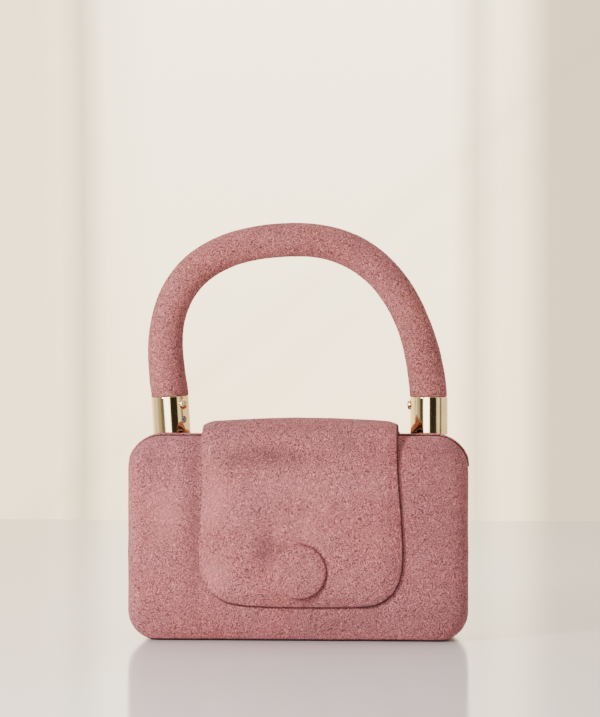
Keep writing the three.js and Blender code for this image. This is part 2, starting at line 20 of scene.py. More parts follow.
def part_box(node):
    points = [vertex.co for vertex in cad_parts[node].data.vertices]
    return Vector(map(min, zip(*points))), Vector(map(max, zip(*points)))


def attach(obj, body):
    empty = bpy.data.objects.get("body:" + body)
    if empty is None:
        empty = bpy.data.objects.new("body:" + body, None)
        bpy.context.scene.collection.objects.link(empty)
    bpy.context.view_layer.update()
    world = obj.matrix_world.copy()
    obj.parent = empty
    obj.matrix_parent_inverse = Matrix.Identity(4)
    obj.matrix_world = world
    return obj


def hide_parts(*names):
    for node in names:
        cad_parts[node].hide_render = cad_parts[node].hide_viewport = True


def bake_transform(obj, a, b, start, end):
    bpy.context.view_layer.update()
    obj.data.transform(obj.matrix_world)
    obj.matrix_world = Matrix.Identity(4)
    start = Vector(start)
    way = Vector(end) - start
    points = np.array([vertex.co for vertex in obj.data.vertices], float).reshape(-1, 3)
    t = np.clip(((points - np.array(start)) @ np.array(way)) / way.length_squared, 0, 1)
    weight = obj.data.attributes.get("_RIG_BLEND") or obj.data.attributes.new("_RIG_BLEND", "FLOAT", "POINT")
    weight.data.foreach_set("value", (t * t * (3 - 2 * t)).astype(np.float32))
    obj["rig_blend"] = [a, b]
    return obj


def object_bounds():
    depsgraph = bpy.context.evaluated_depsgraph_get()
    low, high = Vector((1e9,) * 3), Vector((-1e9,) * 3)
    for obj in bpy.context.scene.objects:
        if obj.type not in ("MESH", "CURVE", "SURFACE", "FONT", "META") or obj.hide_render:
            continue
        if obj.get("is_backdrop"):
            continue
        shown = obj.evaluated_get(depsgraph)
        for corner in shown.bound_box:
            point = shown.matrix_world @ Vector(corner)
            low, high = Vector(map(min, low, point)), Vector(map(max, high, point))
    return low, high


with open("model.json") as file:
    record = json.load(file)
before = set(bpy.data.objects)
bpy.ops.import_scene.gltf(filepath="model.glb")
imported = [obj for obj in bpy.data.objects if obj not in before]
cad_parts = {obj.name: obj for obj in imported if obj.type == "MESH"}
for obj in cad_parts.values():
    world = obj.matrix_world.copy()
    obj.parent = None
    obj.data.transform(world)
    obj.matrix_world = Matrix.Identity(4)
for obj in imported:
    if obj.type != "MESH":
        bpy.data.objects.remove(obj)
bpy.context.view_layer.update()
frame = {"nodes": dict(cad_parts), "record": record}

# %% [markdown]
# ## Camera
# The camera stands 1.4 m away, level, at the height of the handle and a few degrees to the right. A nearer
# camera would do with a shorter lens, but the long one keeps the square look of the box.

# %% Camera
MM = 0.001
EYE_DISTANCE = 1.4
EYE_TURN = math.radians(3.2)
EYE_HEIGHT = 149 * MM

camera_data = bpy.data.cameras.new("camera")
camera_data.sensor_width = 36
camera_data.lens = 130.9
camera = bpy.data.objects.new("camera", camera_data)
camera.location = (EYE_DISTANCE * math.sin(EYE_TURN), -EYE_DISTANCE * math.cos(EYE_TURN), EYE_HEIGHT)
camera.rotation_euler = (math.pi / 2, 0, EYE_TURN)
bpy.context.scene.collection.objects.link(camera)
bpy.context.scene.camera = camera
print("camera at", [round(x, 3) for x in camera.location])

# %% [markdown]
# ## Small helpers for meshes
# Every piece is built the same way: points are made and moved in a bmesh, which becomes an object at
# the origin. It is then told which body it rides on, which finish it has and which parts of the plain
# model it replaces. Holes and slots are cut with a boolean, applied at once, since a cut edge is hard to
# model by hand on a round part.

# %% Helpers for meshes


def make_object(name, bm, *materials):
    """A new object at the origin from a bmesh, shaded smooth."""
    mesh = bpy.data.meshes.new(name)
    bm.to_mesh(mesh)
    bm.free()
    mesh.polygons.foreach_set("use_smooth", [True] * len(mesh.polygons))
    obj = bpy.data.objects.new(name, mesh)
    bpy.context.scene.collection.objects.link(obj)
    for material in materials:
        mesh.materials.append(material)
    return obj


def place(obj, body, slot, *nodes):
    """Makes obj ride on a body and stand for the CAD nodes named. The slot is not used."""
    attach(obj, body)
    if nodes:
        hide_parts(*nodes)
    print(f"{obj.name}: {len(obj.data.vertices)} points, {len(obj.data.polygons)} faces, on {body}")
    return obj


def apply_modifiers(obj):
    """Makes the shape that the modifiers give the object's own mesh."""
    bpy.context.view_layer.update()
    finished = obj.evaluated_get(bpy.context.evaluated_depsgraph_get())
    mesh = bpy.data.meshes.new_from_object(finished)
    obj.modifiers.clear()
    obj.data = mesh


def carve(obj, *cutters):
    """Cuts the shapes of the cutters out of obj for good."""
    for cutter in cutters:
        modifier = obj.modifiers.new("cut", "BOOLEAN")
        modifier.object = cutter
        modifier.solver = "EXACT"
        apply_modifiers(obj)
        bpy.data.objects.remove(cutter)


def soften(obj, angle=35):
    """Smooth shading that keeps edges sharper than the angle."""
    obj.data.set_sharp_from_angle(angle=math.radians(angle))


# %% [markdown]
# ## Small helpers for forms
# Soft steps and bells blend one form into the next without a visible line. Turning square rings into round
# ones lets a plain grid follow a round corner, with no crowded point in the middle.

# %% Helpers for forms


def open_edges(bm):
    return [edge for edge in bm.edges if edge.is_boundary]


def smoothstep(low, high, value):
    """A soft step from 0 at low to 1 at high. With low above high it falls."""
    t = min(1.0, max(0.0, (value - low) / (high - low)))
    return t * t * (3 - 2 * t)


def bell(value, centre, width):
    return math.exp(-((value - centre) / width) ** 2)


def corner_turn(over_a, over_b):
    """The ring and the angle on it that a point of a square corner goes to, when squares become rings."""
    small, large = min(over_a, over_b), max(over_a, over_b)
    angle = math.pi / 4 * small / large
    return large, math.pi / 2 - angle if over_b > over_a else angle


# %% [markdown]
# ## Shader helpers
# Nodes are easier to read as short lines: make a node, set its values, wire its inputs.

# %% Node helpers


def wire(tree, socket, value):
    """Links another node's output to the socket, or sets a plain value on it."""
    if isinstance(value, bpy.types.NodeSocket):
        tree.links.new(value, socket)
    else:
        socket.default_value = value


def add_node(tree, kind, inputs=None, **settings):
    """A node with its settings, its inputs set to values or wired to another node's output."""
    made = tree.nodes.new(kind)
    for key, value in settings.items():
        setattr(made, key, value)
    for key, value in (inputs or {}).items():
        wire(tree, made.inputs[key], value)
    return made


def math_node(tree, operation, a, b=0.5, clamp=False):
    return add_node(tree, "ShaderNodeMath", {0: a, 1: b}, operation=operation, use_clamp=clamp).outputs[0]


def times(tree, a, b):
    return math_node(tree, "MULTIPLY", a, b)


def vector_node(tree, operation, a, b):
    return add_node(tree, "ShaderNodeVectorMath", {0: a, 1: b}, operation=operation).outputs[0]


def noise_node(tree, vector, scale, detail, **more):
    """Soft noise from 0 to 1. Roughness or Distortion may follow by name."""
    inputs = {"Vector": vector, "Scale": scale, "Detail": detail, **more}
    return add_node(tree, "ShaderNodeTexNoise", inputs).outputs["Fac"]


def bump_up(tree, shader, height, strength, distance):
    """Lets the height tilt the light on the surface, as small relief does."""
    bump = add_node(tree, "ShaderNodeBump", {"Height": height, "Strength": strength, "Distance": distance})
    tree.links.new(bump.outputs["Normal"], shader.inputs["Normal"])


def blend_colors(tree, factor, a, b, mode="MIX"):
    made = tree.nodes.new("ShaderNodeMix")
    made.data_type = "RGBA"
    made.blend_type = mode
    for number, value in ((0, factor), (6, a), (7, b)):  # the colour sockets share names with others
        wire(tree, made.inputs[number], value)
    return made.outputs[2]


def ramp(tree, value, low, high, to_low=0.0, to_high=1.0):
    inputs = {"Value": value, "From Min": low, "From Max": high, "To Min": to_low, "To Max": to_high}
    return add_node(tree, "ShaderNodeMapRange", inputs).outputs["Result"]


# %% [markdown]
# ## Groups and materials
# A group is a little machine of nodes with named inputs, used like one node. A material keeps its main shader
# and its plain values in the open, where they are easy to find.

# %% Helpers for groups and materials


def new_group(name, inputs, outputs):
    """A shader node group with named float, colour or vector sockets."""
    kinds = {"f": "NodeSocketFloat", "c": "NodeSocketColor", "v": "NodeSocketVector"}
    group = bpy.data.node_groups.new(name, "ShaderNodeTree")
    for key, kind, value in inputs:
        socket = group.interface.new_socket(name=key, in_out="INPUT", socket_type=kinds[kind])
        if value is not None:
            socket.default_value = value
    for key, kind in outputs:
        group.interface.new_socket(name=key, in_out="OUTPUT", socket_type=kinds[kind])
    return group, group.nodes.new("NodeGroupInput").outputs, group.nodes.new("NodeGroupOutput").inputs


def new_material(name):
    """A material, its nodes, its main shader and the place on the object, in metres."""
    material = bpy.data.materials.new(name)
    material.use_nodes = True
    tree = material.node_tree
    spot = add_node(tree, "ShaderNodeTexCoord").outputs["Object"]
    return material, tree, tree.nodes["Principled BSDF"], spot


def use_group(tree, group, inputs):
    made = tree.nodes.new("ShaderNodeGroup")
    made.node_tree = group
    for key, value in inputs.items():
        wire(tree, made.inputs[key], value)
    return made.outputs


def set_sockets(shader, values):
    """Sets plain values straight on the shader's own sockets."""
    for key, value in values.items():
        shader.inputs[key].default_value = value


# %% [markdown]
# ## The table
# The purse stands on a white, softly polished table. It is a plain sheet, and its finish does the work: a
# low roughness mirrors the foot of the purse, and a low specular level keeps that reflection faint.

# %% Table
table_bm = bmesh.new()
bmesh.ops.create_grid(table_bm, x_segments=1, y_segments=1, size=1)
bmesh.ops.scale(table_bm, vec=(3.0, 1.6, 1), verts=table_bm.verts)
bmesh.ops.translate(table_bm, vec=(0, -0.6, 0), verts=table_bm.verts)
white_top, _, top_shader, _ = new_material("white_table")
set_sockets(top_shader, {"Base Color": (0.94, 0.915, 0.90, 1), "Roughness": 0.13, "Specular IOR Level": 0.30})
table = make_object("table", table_bm, white_top)
table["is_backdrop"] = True
print("table made")

# %% [markdown]
# ## The curtain
# Behind the table hangs a pale pleated curtain, out of focus. It could be a lit sheet of mesh. Here it is a
# colour of the world, brighter in the middle and darker towards the sides, with the painted shade of a few soft
# folds, placed by direction, so that it costs nothing to render.

# %% Curtain
world = bpy.data.worlds.new("room")
bpy.context.scene.world = world
world.use_nodes = True
room = world.node_tree
room.nodes.clear()
direction = add_node(room, "ShaderNodeTexCoord").outputs["Generated"]
split = add_node(room, "ShaderNodeSeparateXYZ", {0: direction}).outputs
sideways = math_node(room, "ABSOLUTE", math_node(room, "ADD", split["X"], 0.056))
middle = blend_colors(room, ramp(room, split["Z"], -0.05, 0.16), (4.0, 3.2, 1.9, 1), (5.0, 4.3, 2.95, 1))
wall = blend_colors(room, ramp(room, sideways, 0.055, 0.10), middle, (3.1, 2.45, 1.55, 1))
wall = blend_colors(room, ramp(room, split["X"], 0.028, 0.040, 0.0, 0.8), wall, (1.45, 1.12, 0.74, 1))
slanted = math_node(room, "SUBTRACT", times(room, split["Z"], 0.766), times(room, split["X"], 0.643))
# what is measured, where the middle of the fold's painted shade lies, its half width and its strength
FOLD_SHADES = (
    (split["X"], -0.138, 0.009, 0.62),
    (split["X"], 0.0117, 0.009, 0.5),
    (slanted, 0.0544, 0.009, 0.12),
    (slanted, 0.036, 0.012, 0.08),
)
for place_at, centre, width, strength in FOLD_SHADES:
    off_fold = math_node(room, "ABSOLUTE", math_node(room, "SUBTRACT", place_at, centre))
    wall = blend_colors(room, ramp(room, off_fold, width, 0.0, 0.0, strength), wall, (1.4, 1.08, 0.7, 1))
print("curtain:", len(FOLD_SHADES), "folds")

# %% [markdown]
# ## What the brass mirrors
# Polished brass shows what stands round it. A studio sets white and black cards there. A ring of light and
# dark bands does the same, given to the mirror rays only, so that it lights nothing else.

# %% Mirrored bands
# degrees round the horizon from behind, past the left, the camera and the right; brightness
BANDS = (
    (-150, 0.26), (-128, 0.30), (-120, 0.72), (-84, 0.74), (-76, 0.34), (-60, 0.26), (-54, 0.05),
    (-36, 0.02), (-30, 2.8), (0, 2.8), (5, 0.25), (9, 0.015), (48, 0.015), (54, 0.26), (62, 0.5),
    (68, 0.2), (76, 0.04), (82, 0.08), (88, 0.55), (135, 0.5), (150, 0.22),
)
turn = math_node(room, "ARCTAN2", split["X"], times(room, split["Y"], -1.0))
around = ramp(room, turn, -math.pi, math.pi)
bands = add_node(room, "ShaderNodeValToRGB", {"Fac": around})
stops = bands.color_ramp.elements
for degrees, value in BANDS:
    green, blue = (0.95, 0.88) if value < 1 else (1.1, 1.3)
    stops.new((degrees + 180) / 360).color = (value, value * green, value * blue, 1)
for stop in (stops[0], stops[-1]):
    stop.color = (0.28, 0.26, 0.23, 1)
mirrored = blend_colors(room, 1.0, bands.outputs["Color"], (2.8, 2.8, 2.8, 1), "MULTIPLY")
mirrored = blend_colors(room, ramp(room, split["Z"], 0.45, 0.9), mirrored, (1.6, 1.5, 1.4, 1))
rays = add_node(room, "ShaderNodeLightPath").outputs
seen = blend_colors(room, rays["Is Glossy Ray"], (0.62, 0.58, 0.53, 1), mirrored)
ahead = ramp(room, split["Y"], 0.2, 0.6)
seen = blend_colors(room, times(room, rays["Is Glossy Ray"], ahead), seen, wall)
seen = blend_colors(room, rays["Is Camera Ray"], seen, wall)
background = add_node(room, "ShaderNodeBackground", {"Color": seen, "Strength": 1.0})
add_node(room, "ShaderNodeOutputWorld", {"Surface": background.outputs[0]})
print("mirrored bands:", len(BANDS))

# %% [markdown]
# ## The lights
# The main light is a fairly small box to the left, which gives the flap and the button their edge. A weak
# one fills from the right, and a wide one lies above. A single lamp would leave the right side black.

# %% Soft boxes


def soft_box(name, place_at, look_at, size, power, color):
    """A rectangular light at one place, turned to look at another."""
    data = bpy.data.lights.new(name, "AREA")
    data.shape = "RECTANGLE"
    data.size, data.size_y = size
    data.energy = power
    data.color = color
    light = bpy.data.objects.new(name, data)
    light.location = place_at
    light.rotation_euler = (Vector(look_at) - Vector(place_at)).to_track_quat("-Z", "Y").to_euler()
    bpy.context.scene.collection.objects.link(light)


soft_box("key_left", (-0.66, -0.74, 0.40), (0, 0, 0.07), (0.2, 0.28), 14.6, (1.0, 0.97, 0.94))
soft_box("fill_right", (1.3, -0.7, 0.5), (0, 0, 0.1), (0.8, 0.9), 1.5, (1.0, 0.96, 0.92))
soft_box("top", (0.1, 0.35, 1.2), (0, 0, 0.1), (1.0, 0.8), 9, (1.0, 0.98, 0.96))
print("three soft boxes made")

# %% [markdown]
# ## Suede
# Suede is the split side of a hide, brushed into a short nap. Seen close it is a field of tiny
# strands that lie every way, some catching the light and some in shade, with soft clouds where a hand
# has brushed them. One group gives that colour and its height, and every suede part uses it.
#
# Each cell of a Voronoi texture turns its own patch of stretched noise to its own direction, which
# gives short strands that change direction every couple of millimetres, as real nap does.

# %% Suede nap group
nap_group, nap_in, nap_out = new_group(
    "suede_nap",
    [("Vector", "v", None), ("Pile", "c", (0.5, 0.25, 0.24, 1)), ("Tip", "c", (0.7, 0.45, 0.43, 1)),
     ("Root", "c", (0.25, 0.09, 0.09, 1)), ("Smudge", "f", 0.5)],
    [("Color", "c"), ("Height", "f"), ("Cloud", "f")],
)
nap_at = nap_in["Vector"]
cells = add_node(nap_group, "ShaderNodeTexVoronoi", {"Vector": nap_at, "Scale": 400.0})
inside = vector_node(nap_group, "SUBTRACT", nap_at, cells.outputs["Position"])
turns = add_node(nap_group, "ShaderNodeVectorMath", {0: cells.outputs["Color"], "Scale": 6.28},
                 operation="SCALE").outputs[0]
turned = add_node(nap_group, "ShaderNodeVectorRotate", {"Vector": inside, "Rotation": turns},
                  rotation_type="EULER_XYZ").outputs[0]
stretched = vector_node(nap_group, "MULTIPLY", turned, (520, 2750, 2750))
shifted = vector_node(nap_group, "ADD", stretched, turns)
strand = ramp(nap_group, noise_node(nap_group, shifted, 1.0, 1.0), 0.38, 0.62)
grain = ramp(nap_group, noise_node(nap_group, nap_at, 900.0, 2.0), 0.30, 0.70)
hair = math_node(nap_group, "ADD", times(nap_group, strand, 0.74), times(nap_group, grain, 0.26))

cloud = ramp(nap_group, noise_node(nap_group, nap_at, 38.0, 3.0, Roughness=0.6, Distortion=0.4), 0.30, 0.72)
patch = ramp(nap_group, noise_node(nap_group, nap_at, 17.0, 2.0), 0.56, 0.74)
lighter = blend_colors(nap_group, times(nap_group, cloud, 0.35), nap_in["Pile"], nap_in["Tip"])
brushed = times(nap_group, patch, nap_in["Smudge"])
smudged = blend_colors(nap_group, brushed, lighter, nap_in["Root"])
dark_hair = blend_colors(nap_group, ramp(nap_group, hair, 0.46, 0.13), smudged, nap_in["Root"])
light_hair = blend_colors(nap_group, ramp(nap_group, hair, 0.56, 0.84, 0.0, 0.9), dark_hair, nap_in["Tip"])

hue = ramp(nap_group, noise_node(nap_group, nap_at, 26.0, 3.0), 0.36, 0.64)
tint = blend_colors(nap_group, hue, (1.03, 0.98, 0.92, 1), (0.99, 0.99, 1.03, 1))
nap_group.links.new(blend_colors(nap_group, 1.0, light_hair, tint, "MULTIPLY"), nap_out["Color"])
nap_group.links.new(hair, nap_out["Height"])
nap_group.links.new(cloud, nap_out["Cloud"])
print("suede group:", len(nap_group.nodes), "nodes")

# %% [markdown]
# ## From nap to a finish
# Soft marks paint shade and light into the nap: darker where shade falls on the purse, lighter where light falls
# on it. They could be painted on an image, but written as positions they can be read and moved. An attribute of
# the mesh adds a near-black painted shadow in the thin gaps where two pieces meet, along the foot of the case
# and round the button.

# %% Suede helpers


def soft_marks(tree, spot, marks):
    """Adds up soft elliptical marks of painted shade and light (x, z, half width, half height, strength), in mm
    on the front.
    """
    split = add_node(tree, "ShaderNodeSeparateXYZ", {0: spot}).outputs
    total = 0.0
    for x, z, wide, high, strength in marks:
        squares = 0.0
        for axis, centre, reach in (("X", x * MM, wide * MM), ("Z", z * MM, high * MM)):
            off = times(tree, math_node(tree, "SUBTRACT", split[axis], centre), 1 / reach)
            squares = math_node(tree, "ADD", math_node(tree, "POWER", off, 2.0), squares)
        mark = times(tree, math_node(tree, "POWER", 0.37, squares), strength)
        total = math_node(tree, "ADD", total, mark)
    facing = ramp(tree, split["Y"], -8 * MM, -28 * MM)
    return times(tree, total, facing)


def suede(name, colors, smudge, marks=()):
    """Suede in three colours: the pile, the tips that catch the light and the roots in shade."""
    pile, tip, root = [(*color, 1) for color in colors]
    material, tree, shader, spot = new_material(name)
    settings = {"Vector": spot, "Pile": pile, "Tip": tip, "Root": root, "Smudge": smudge}
    nap = use_group(tree, nap_group, settings)
    color = nap["Color"]
    # Marks above zero paint shade with the root colour, marks below zero paint light with the tip colour.
    if marks:
        uneven = ramp(tree, nap["Cloud"], 0.0, 1.0, 0.6, 1.4)
        strength = times(tree, soft_marks(tree, spot, marks), uneven)
        color = blend_colors(tree, math_node(tree, "MULTIPLY", strength, 1.0, clamp=True), color, root)
        lighter = math_node(tree, "MULTIPLY", strength, -1.0, clamp=True)
        color = blend_colors(tree, lighter, color, tip)
    # A near-black painted shadow, set point by point on the mesh: in the thin gaps where pieces meet, along the
    # foot and round the button.
    painted_shade = add_node(tree, "ShaderNodeAttribute", attribute_name="painted_shade").outputs["Fac"]
    color = blend_colors(tree, painted_shade, color, (0.028, 0.008, 0.01, 1))
    tree.links.new(color, shader.inputs["Base Color"])
    bump_up(tree, shader, nap["Height"], 0.7, 0.4 * MM)
    set_sockets(shader, {"Roughness": 0.92, "Specular IOR Level": 0.12})
    set_sockets(shader, {"Sheen Weight": 0.12, "Sheen Roughness": 0.45, "Sheen Tint": (1.0, 0.62, 0.62, 1)})
    return material


# %% [markdown]
# ## Suede on the parts
# The same suede serves four finishes: the case, the flap, the handle and the cut edge, which is painted dark and
# darkened further as painted shade. The marks of painted shade and light are in millimetres on the front, so
# each one can be found and changed by its place.

# %% Suede finishes
# Painted shade above zero, painted light below zero; each mark is x, z, half width, half height and strength, in
# mm. On the case: a painted shadow along the flap's left edge, painted shade on the right side, its edge and its
# top corner, a band darker towards the bottom, painted light from the white table along the foot, and a few
# darker and lighter patches.
CASE_SHADING_MARKS = [
    (-57, 58, 4, 42, 0.30), (-53.2, 62, 2.2, 48, 0.31), (-56, 98, 5, 12, 0.28), (0, 9, 110, 10, 0.24),
    (0, 2, 110, 2.6, -0.25), (74, 70, 20, 50, 0.30), (-76, 98, 12, 10, 0.22), (-70, 70, 9, 16, -0.30),
    (84, 50, 8, 60, 0.15), (72, 101, 16, 6, 0.18),
]
# On the flap: painted shade along its top, across its foot, in the dimple left of the button and down its right
# edge, and a few lighter patches.
FLAP_SHADING_MARKS = [
    (-17, 98, 16, 6, 0.52), (-30, 95, 14, 6, 0.28), (4, 96, 10, 5, 0.22), (28, 103, 12, 5, 0.28),
    (-17, 49, 6, 9, 0.62), (-8, 50, 5, 3, 0.20), (2, 113, 50, 6, 0.25), (0, 21, 46, 4, 0.25),
    (-43, 76, 6, 12, -0.30), (-42, 36, 6, 8, -0.30), (8, 60, 9, 8, -0.20), (42, 84, 8, 9, -0.18),
    (-2, 80, 22, 8, -0.14), (49, 60, 4, 40, 0.16),
]
DUSTY_PINK = ((0.375, 0.112, 0.122), (0.73, 0.27, 0.283), (0.112, 0.047, 0.049))
HANDLED_PINK = ((0.335, 0.097, 0.093), (0.64, 0.24, 0.235), (0.105, 0.042, 0.042))
# The flap's cut edge: a dark edge paint, made darker still as painted shade, so that the edge and its image in
# the brass read as in shade.
DARK_EDGE_AND_SHADE = ((0.05, 0.016, 0.017), (0.09, 0.03, 0.03), (0.02, 0.006, 0.007))
SUEDE = suede("suede", DUSTY_PINK, 0.5, CASE_SHADING_MARKS)
FLAP_SUEDE = suede("flap_suede", DUSTY_PINK, 0.5, FLAP_SHADING_MARKS)
HANDLE_SUEDE = suede("handle_suede", HANDLED_PINK, 0.5)
EDGE_PAINT_AND_SHADE = suede("edge_paint_and_shade", DARK_EDGE_AND_SHADE, 0.1)
print("suede finishes made")

# %% [markdown]
# ## Brass and steel
# The ferrules are polished brass: a mirror with a faint brushed direction and an uneven tone. A plain colour
# and one roughness would look cast in plastic. The same recipe, duller, gives the steel inside.

# %% Metals


def metal(name, color, dull, roughness, scratch):
    material, tree, shader, spot = new_material(name)
    fine = noise_node(tree, vector_node(tree, "MULTIPLY", spot, (900, 900, 60)), 1.0, 3.0)
    worn = noise_node(tree, spot, 160.0, 3.0)
    tone = blend_colors(tree, ramp(tree, worn, 0.45, 0.75, 0.0, 0.5), color, dull)
    tree.links.new(tone, shader.inputs["Base Color"])
    uneven = ramp(tree, fine, 0.3, 0.75, roughness * 0.7, roughness * 1.6)
    tree.links.new(uneven, shader.inputs["Roughness"])
    bump_up(tree, shader, fine, scratch, 0.04 * MM)
    shader.inputs["Metallic"].default_value = 1.0
    return material


BRASS = metal("brass", (0.80, 0.60, 0.29, 1), (0.66, 0.46, 0.19, 1), 0.055, 0.12)
STEEL = metal("steel", (0.34, 0.33, 0.32, 1), (0.22, 0.21, 0.20, 1), 0.36, 0.3)
print("metal finishes made")

# %% [markdown]
# ## Lining, board and foam
# The lining is a fine ribbed cloth: a wave for the ribs and noise for the uneven weave. Board and foam are
# hidden and only need a plain speckled finish. They could share one material, but the two bodies are
# different colours in the plain model. The finishes then go on the plain parts too, for those that stay.

# %% Lining, board and foam


def ribbed_cloth(name, light, dark, ribs):
    material, tree, shader, spot = new_material(name)
    ribs_up = {"Vector": spot, "Scale": ribs, "Distortion": 0.6, "Detail": 1.0}
    ribs_across = {"Vector": spot, "Scale": ribs * 1.6, "Distortion": 0.4}
    wave = add_node(tree, "ShaderNodeTexWave", ribs_up, wave_type="BANDS", bands_direction="Z")
    across = add_node(tree, "ShaderNodeTexWave", ribs_across, wave_type="BANDS", bands_direction="X")
    weave = times(tree, wave.outputs["Fac"], math_node(tree, "ADD", across.outputs["Fac"], 0.6))
    cloud = noise_node(tree, spot, 45.0, 3.0)
    tone = times(tree, ramp(tree, weave, 0.1, 1.2), ramp(tree, cloud, 0.2, 0.8, 0.7, 1.0))
    tree.links.new(blend_colors(tree, tone, dark, light), shader.inputs["Base Color"])
    bump_up(tree, shader, weave, 0.4, 0.2 * MM)
    set_sockets(shader, {"Roughness": 0.75, "Sheen Weight": 0.25})
    return material


def pressed(name, light, dark, scale, roughness):
    material, tree, shader, spot = new_material(name)
    fibre = noise_node(tree, spot, scale, 5.0)
    tree.links.new(blend_colors(tree, ramp(tree, fibre, 0.3, 0.7), dark, light), shader.inputs["Base Color"])
    bump_up(tree, shader, fibre, 0.4, 0.3 * MM)
    shader.inputs["Roughness"].default_value = roughness
    return material


LINING = ribbed_cloth("lining", (0.66, 0.44, 0.38, 1), (0.42, 0.25, 0.21, 1), 420.0)
BOARD = pressed("board", (0.30, 0.25, 0.20, 1), (0.18, 0.15, 0.12, 1), 700.0, 0.85)
FOAM = pressed("foam", (0.72, 0.68, 0.58, 1), (0.5, 0.46, 0.4, 1), 1400.0, 0.95)
FINISH = {"suede": SUEDE, "handle_suede": HANDLE_SUEDE, "lining": LINING, "board": BOARD, "foam": FOAM,
          "brass": BRASS, "steel": STEEL}

for part in frame["record"]["subparts"]:
    node_object = frame["nodes"][part["node"]]
    node_object.data.materials.clear()
    node_object.data.materials.append(FINISH[part["material_slot"]])
print("finishes given to", len(frame["nodes"]), "frame parts")

# %% [markdown]
# ## The skins of the two cases
# A case half is a shallow tray: suede pulled over a moulded form and turned in at the mouth. A flat
# sheet can be pulled over that form by a formula. A point keeps its place on the flat face, then runs
# round the soft edge, down the wall and over the rim, by its distance along the sheet. In a corner the
# same distance is measured from the corner's own centre, so square rings of the sheet turn into round
# ones. That keeps the small faces even, which the nap needs.

# %% The form of the case
front_low, front_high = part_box("front_cover")
rear_low, rear_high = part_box("rear_cover")
HALF_WIDTH = rear_high[0]
CASE_TOP = rear_high[2]
LOW_CORNER, HIGH_CORNER, EDGE = 16 * MM, 18 * MM, 9 * MM
SKIN, LINING_AT, WALL = 1.2 * MM, 3.8 * MM, 4.6 * MM
SLOT_HALF = 61.5 * MM  # half the length of the gap for the bottom hinge
SLOT_DEEP = 2.15 * MM  # how far the rim steps back there
BUTTON_X, BUTTON_Z = 1.7 * MM, 37.3 * MM  # the middle of the snap and its button


print("case in mm:", [round(x * 1000, 1) for x in (2 * HALF_WIDTH, rear_high[1] - front_low[1], CASE_TOP)])

# %% [markdown]
# ## Pulling a sheet over the form
# A grid is made at the size of the cut sheet, and each point is then carried to its place on the form. A
# shrinkwrap would do it too, but it would stretch the faces at the corners.

# %% Sheet over the form


def over_the_edge(run, flat, edge, wall, lip):
    """How far out and how far back a point lies, a run along the sheet from the corner's centre."""
    if run <= flat:
        return run, 0.0
    run -= flat
    if run <= edge * math.pi / 2:
        return flat + edge * math.sin(run / edge), edge * (1 - math.cos(run / edge))
    run -= edge * math.pi / 2
    if run <= wall:
        return flat + edge, edge + run
    run -= wall
    if run <= lip * math.pi / 2:
        angle = run / lip
        return flat + edge - lip * (1 - math.cos(angle)), edge + wall + lip * math.sin(angle)
    return flat + edge - lip - (run - lip * math.pi / 2), edge + wall + lip


def pull_over_case(bm, side, inset, rim, lip, turn_in, cell):
    """Adds one sheet pulled over the case, shrunk by inset, from its face to the rim and turned in."""
    face = front_low[1] + inset if side < 0 else rear_high[1] - inset
    depth = abs(rim - face)
    edge = EDGE - inset
    wall = depth - edge - lip
    run = edge * math.pi / 2 + wall + lip * math.pi / 2 + turn_in
    half_x = HALF_WIDTH - EDGE + run
    low, high = EDGE - run, CASE_TOP - EDGE + run
    columns, rows = round(2 * half_x / cell), round((high - low) / cell)
    sheet = bmesh.ops.create_grid(bm, x_segments=columns, y_segments=rows, size=1)["verts"]
    for vert in sheet:
        x = vert.co.x * half_x
        z = low + (vert.co.y + 1) / 2 * (high - low)
        upper = z > CASE_TOP / 2
        corner = HIGH_CORNER if upper else LOW_CORNER
        centre_x = HALF_WIDTH - corner
        centre_z = CASE_TOP - corner if upper else corner
        sign_x, sign_z = (1 if x >= 0 else -1), (1 if upper else -1)
        over_x, over_z = abs(x) - centre_x, (z - centre_z) * sign_z
        flat = corner - EDGE
        notch = 0.0
        if not upper and over_z > over_x:
            notch = 1 - smoothstep(SLOT_HALF - 0.4 * MM, SLOT_HALF + 0.8 * MM, abs(x))
        out, back = over_the_edge(max(over_x, over_z), flat, edge, wall - notch * SLOT_DEEP, lip)
        if over_x > 0 and over_z > 0:
            _, angle = corner_turn(over_x, over_z)
            x = sign_x * (centre_x + out * math.cos(angle))
            z = centre_z + sign_z * out * math.sin(angle)
        elif over_x >= over_z and over_x > 0:
            x = sign_x * (centre_x + out)
        elif over_z > 0:
            z = centre_z + sign_z * out
        vert.co = (x, face - side * back, z)
    return sheet


def close_shell(bm):
    """Joins the open rims of two sheets and turns every face outwards."""
    bmesh.ops.bridge_loops(bm, edges=open_edges(bm))
    bmesh.ops.recalc_face_normals(bm, faces=bm.faces)


# %% [markdown]
# ## The nap in the mesh
# A nap is uneven in the silhouette as well as in the colour. Hair particles would give that, at a great
# cost. Moving each small face out by a sum of soft noises gives the same broken outline at this size.

# %% Nap in the mesh


def nap_height(point, coarse=0.10, fine=0.07):
    """The short pile's own unevenness in mm: soft hills and small clumps."""
    hills = noise.noise(point * 55) * 1.2 + noise.noise(point * 140)
    clumps = noise.noise(point * 700) + 0.6 * noise.noise(point * 1500)
    return coarse * hills + fine * clumps


def raise_nap(bm, verts, coarse=0.10, fine=0.07, rim=None):
    """Moves points out by the nap's height. Near the plane y = rim the nap is trodden flat."""
    bm.normal_update()
    moves = []
    for vert in verts:
        full = 1.0 if rim is None else smoothstep(0.3 * MM, 1.5 * MM, abs(vert.co.y - rim))
        moves.append((vert, vert.normal * nap_height(vert.co, coarse, fine) * MM * full))
    for vert, move in moves:
        vert.co += move
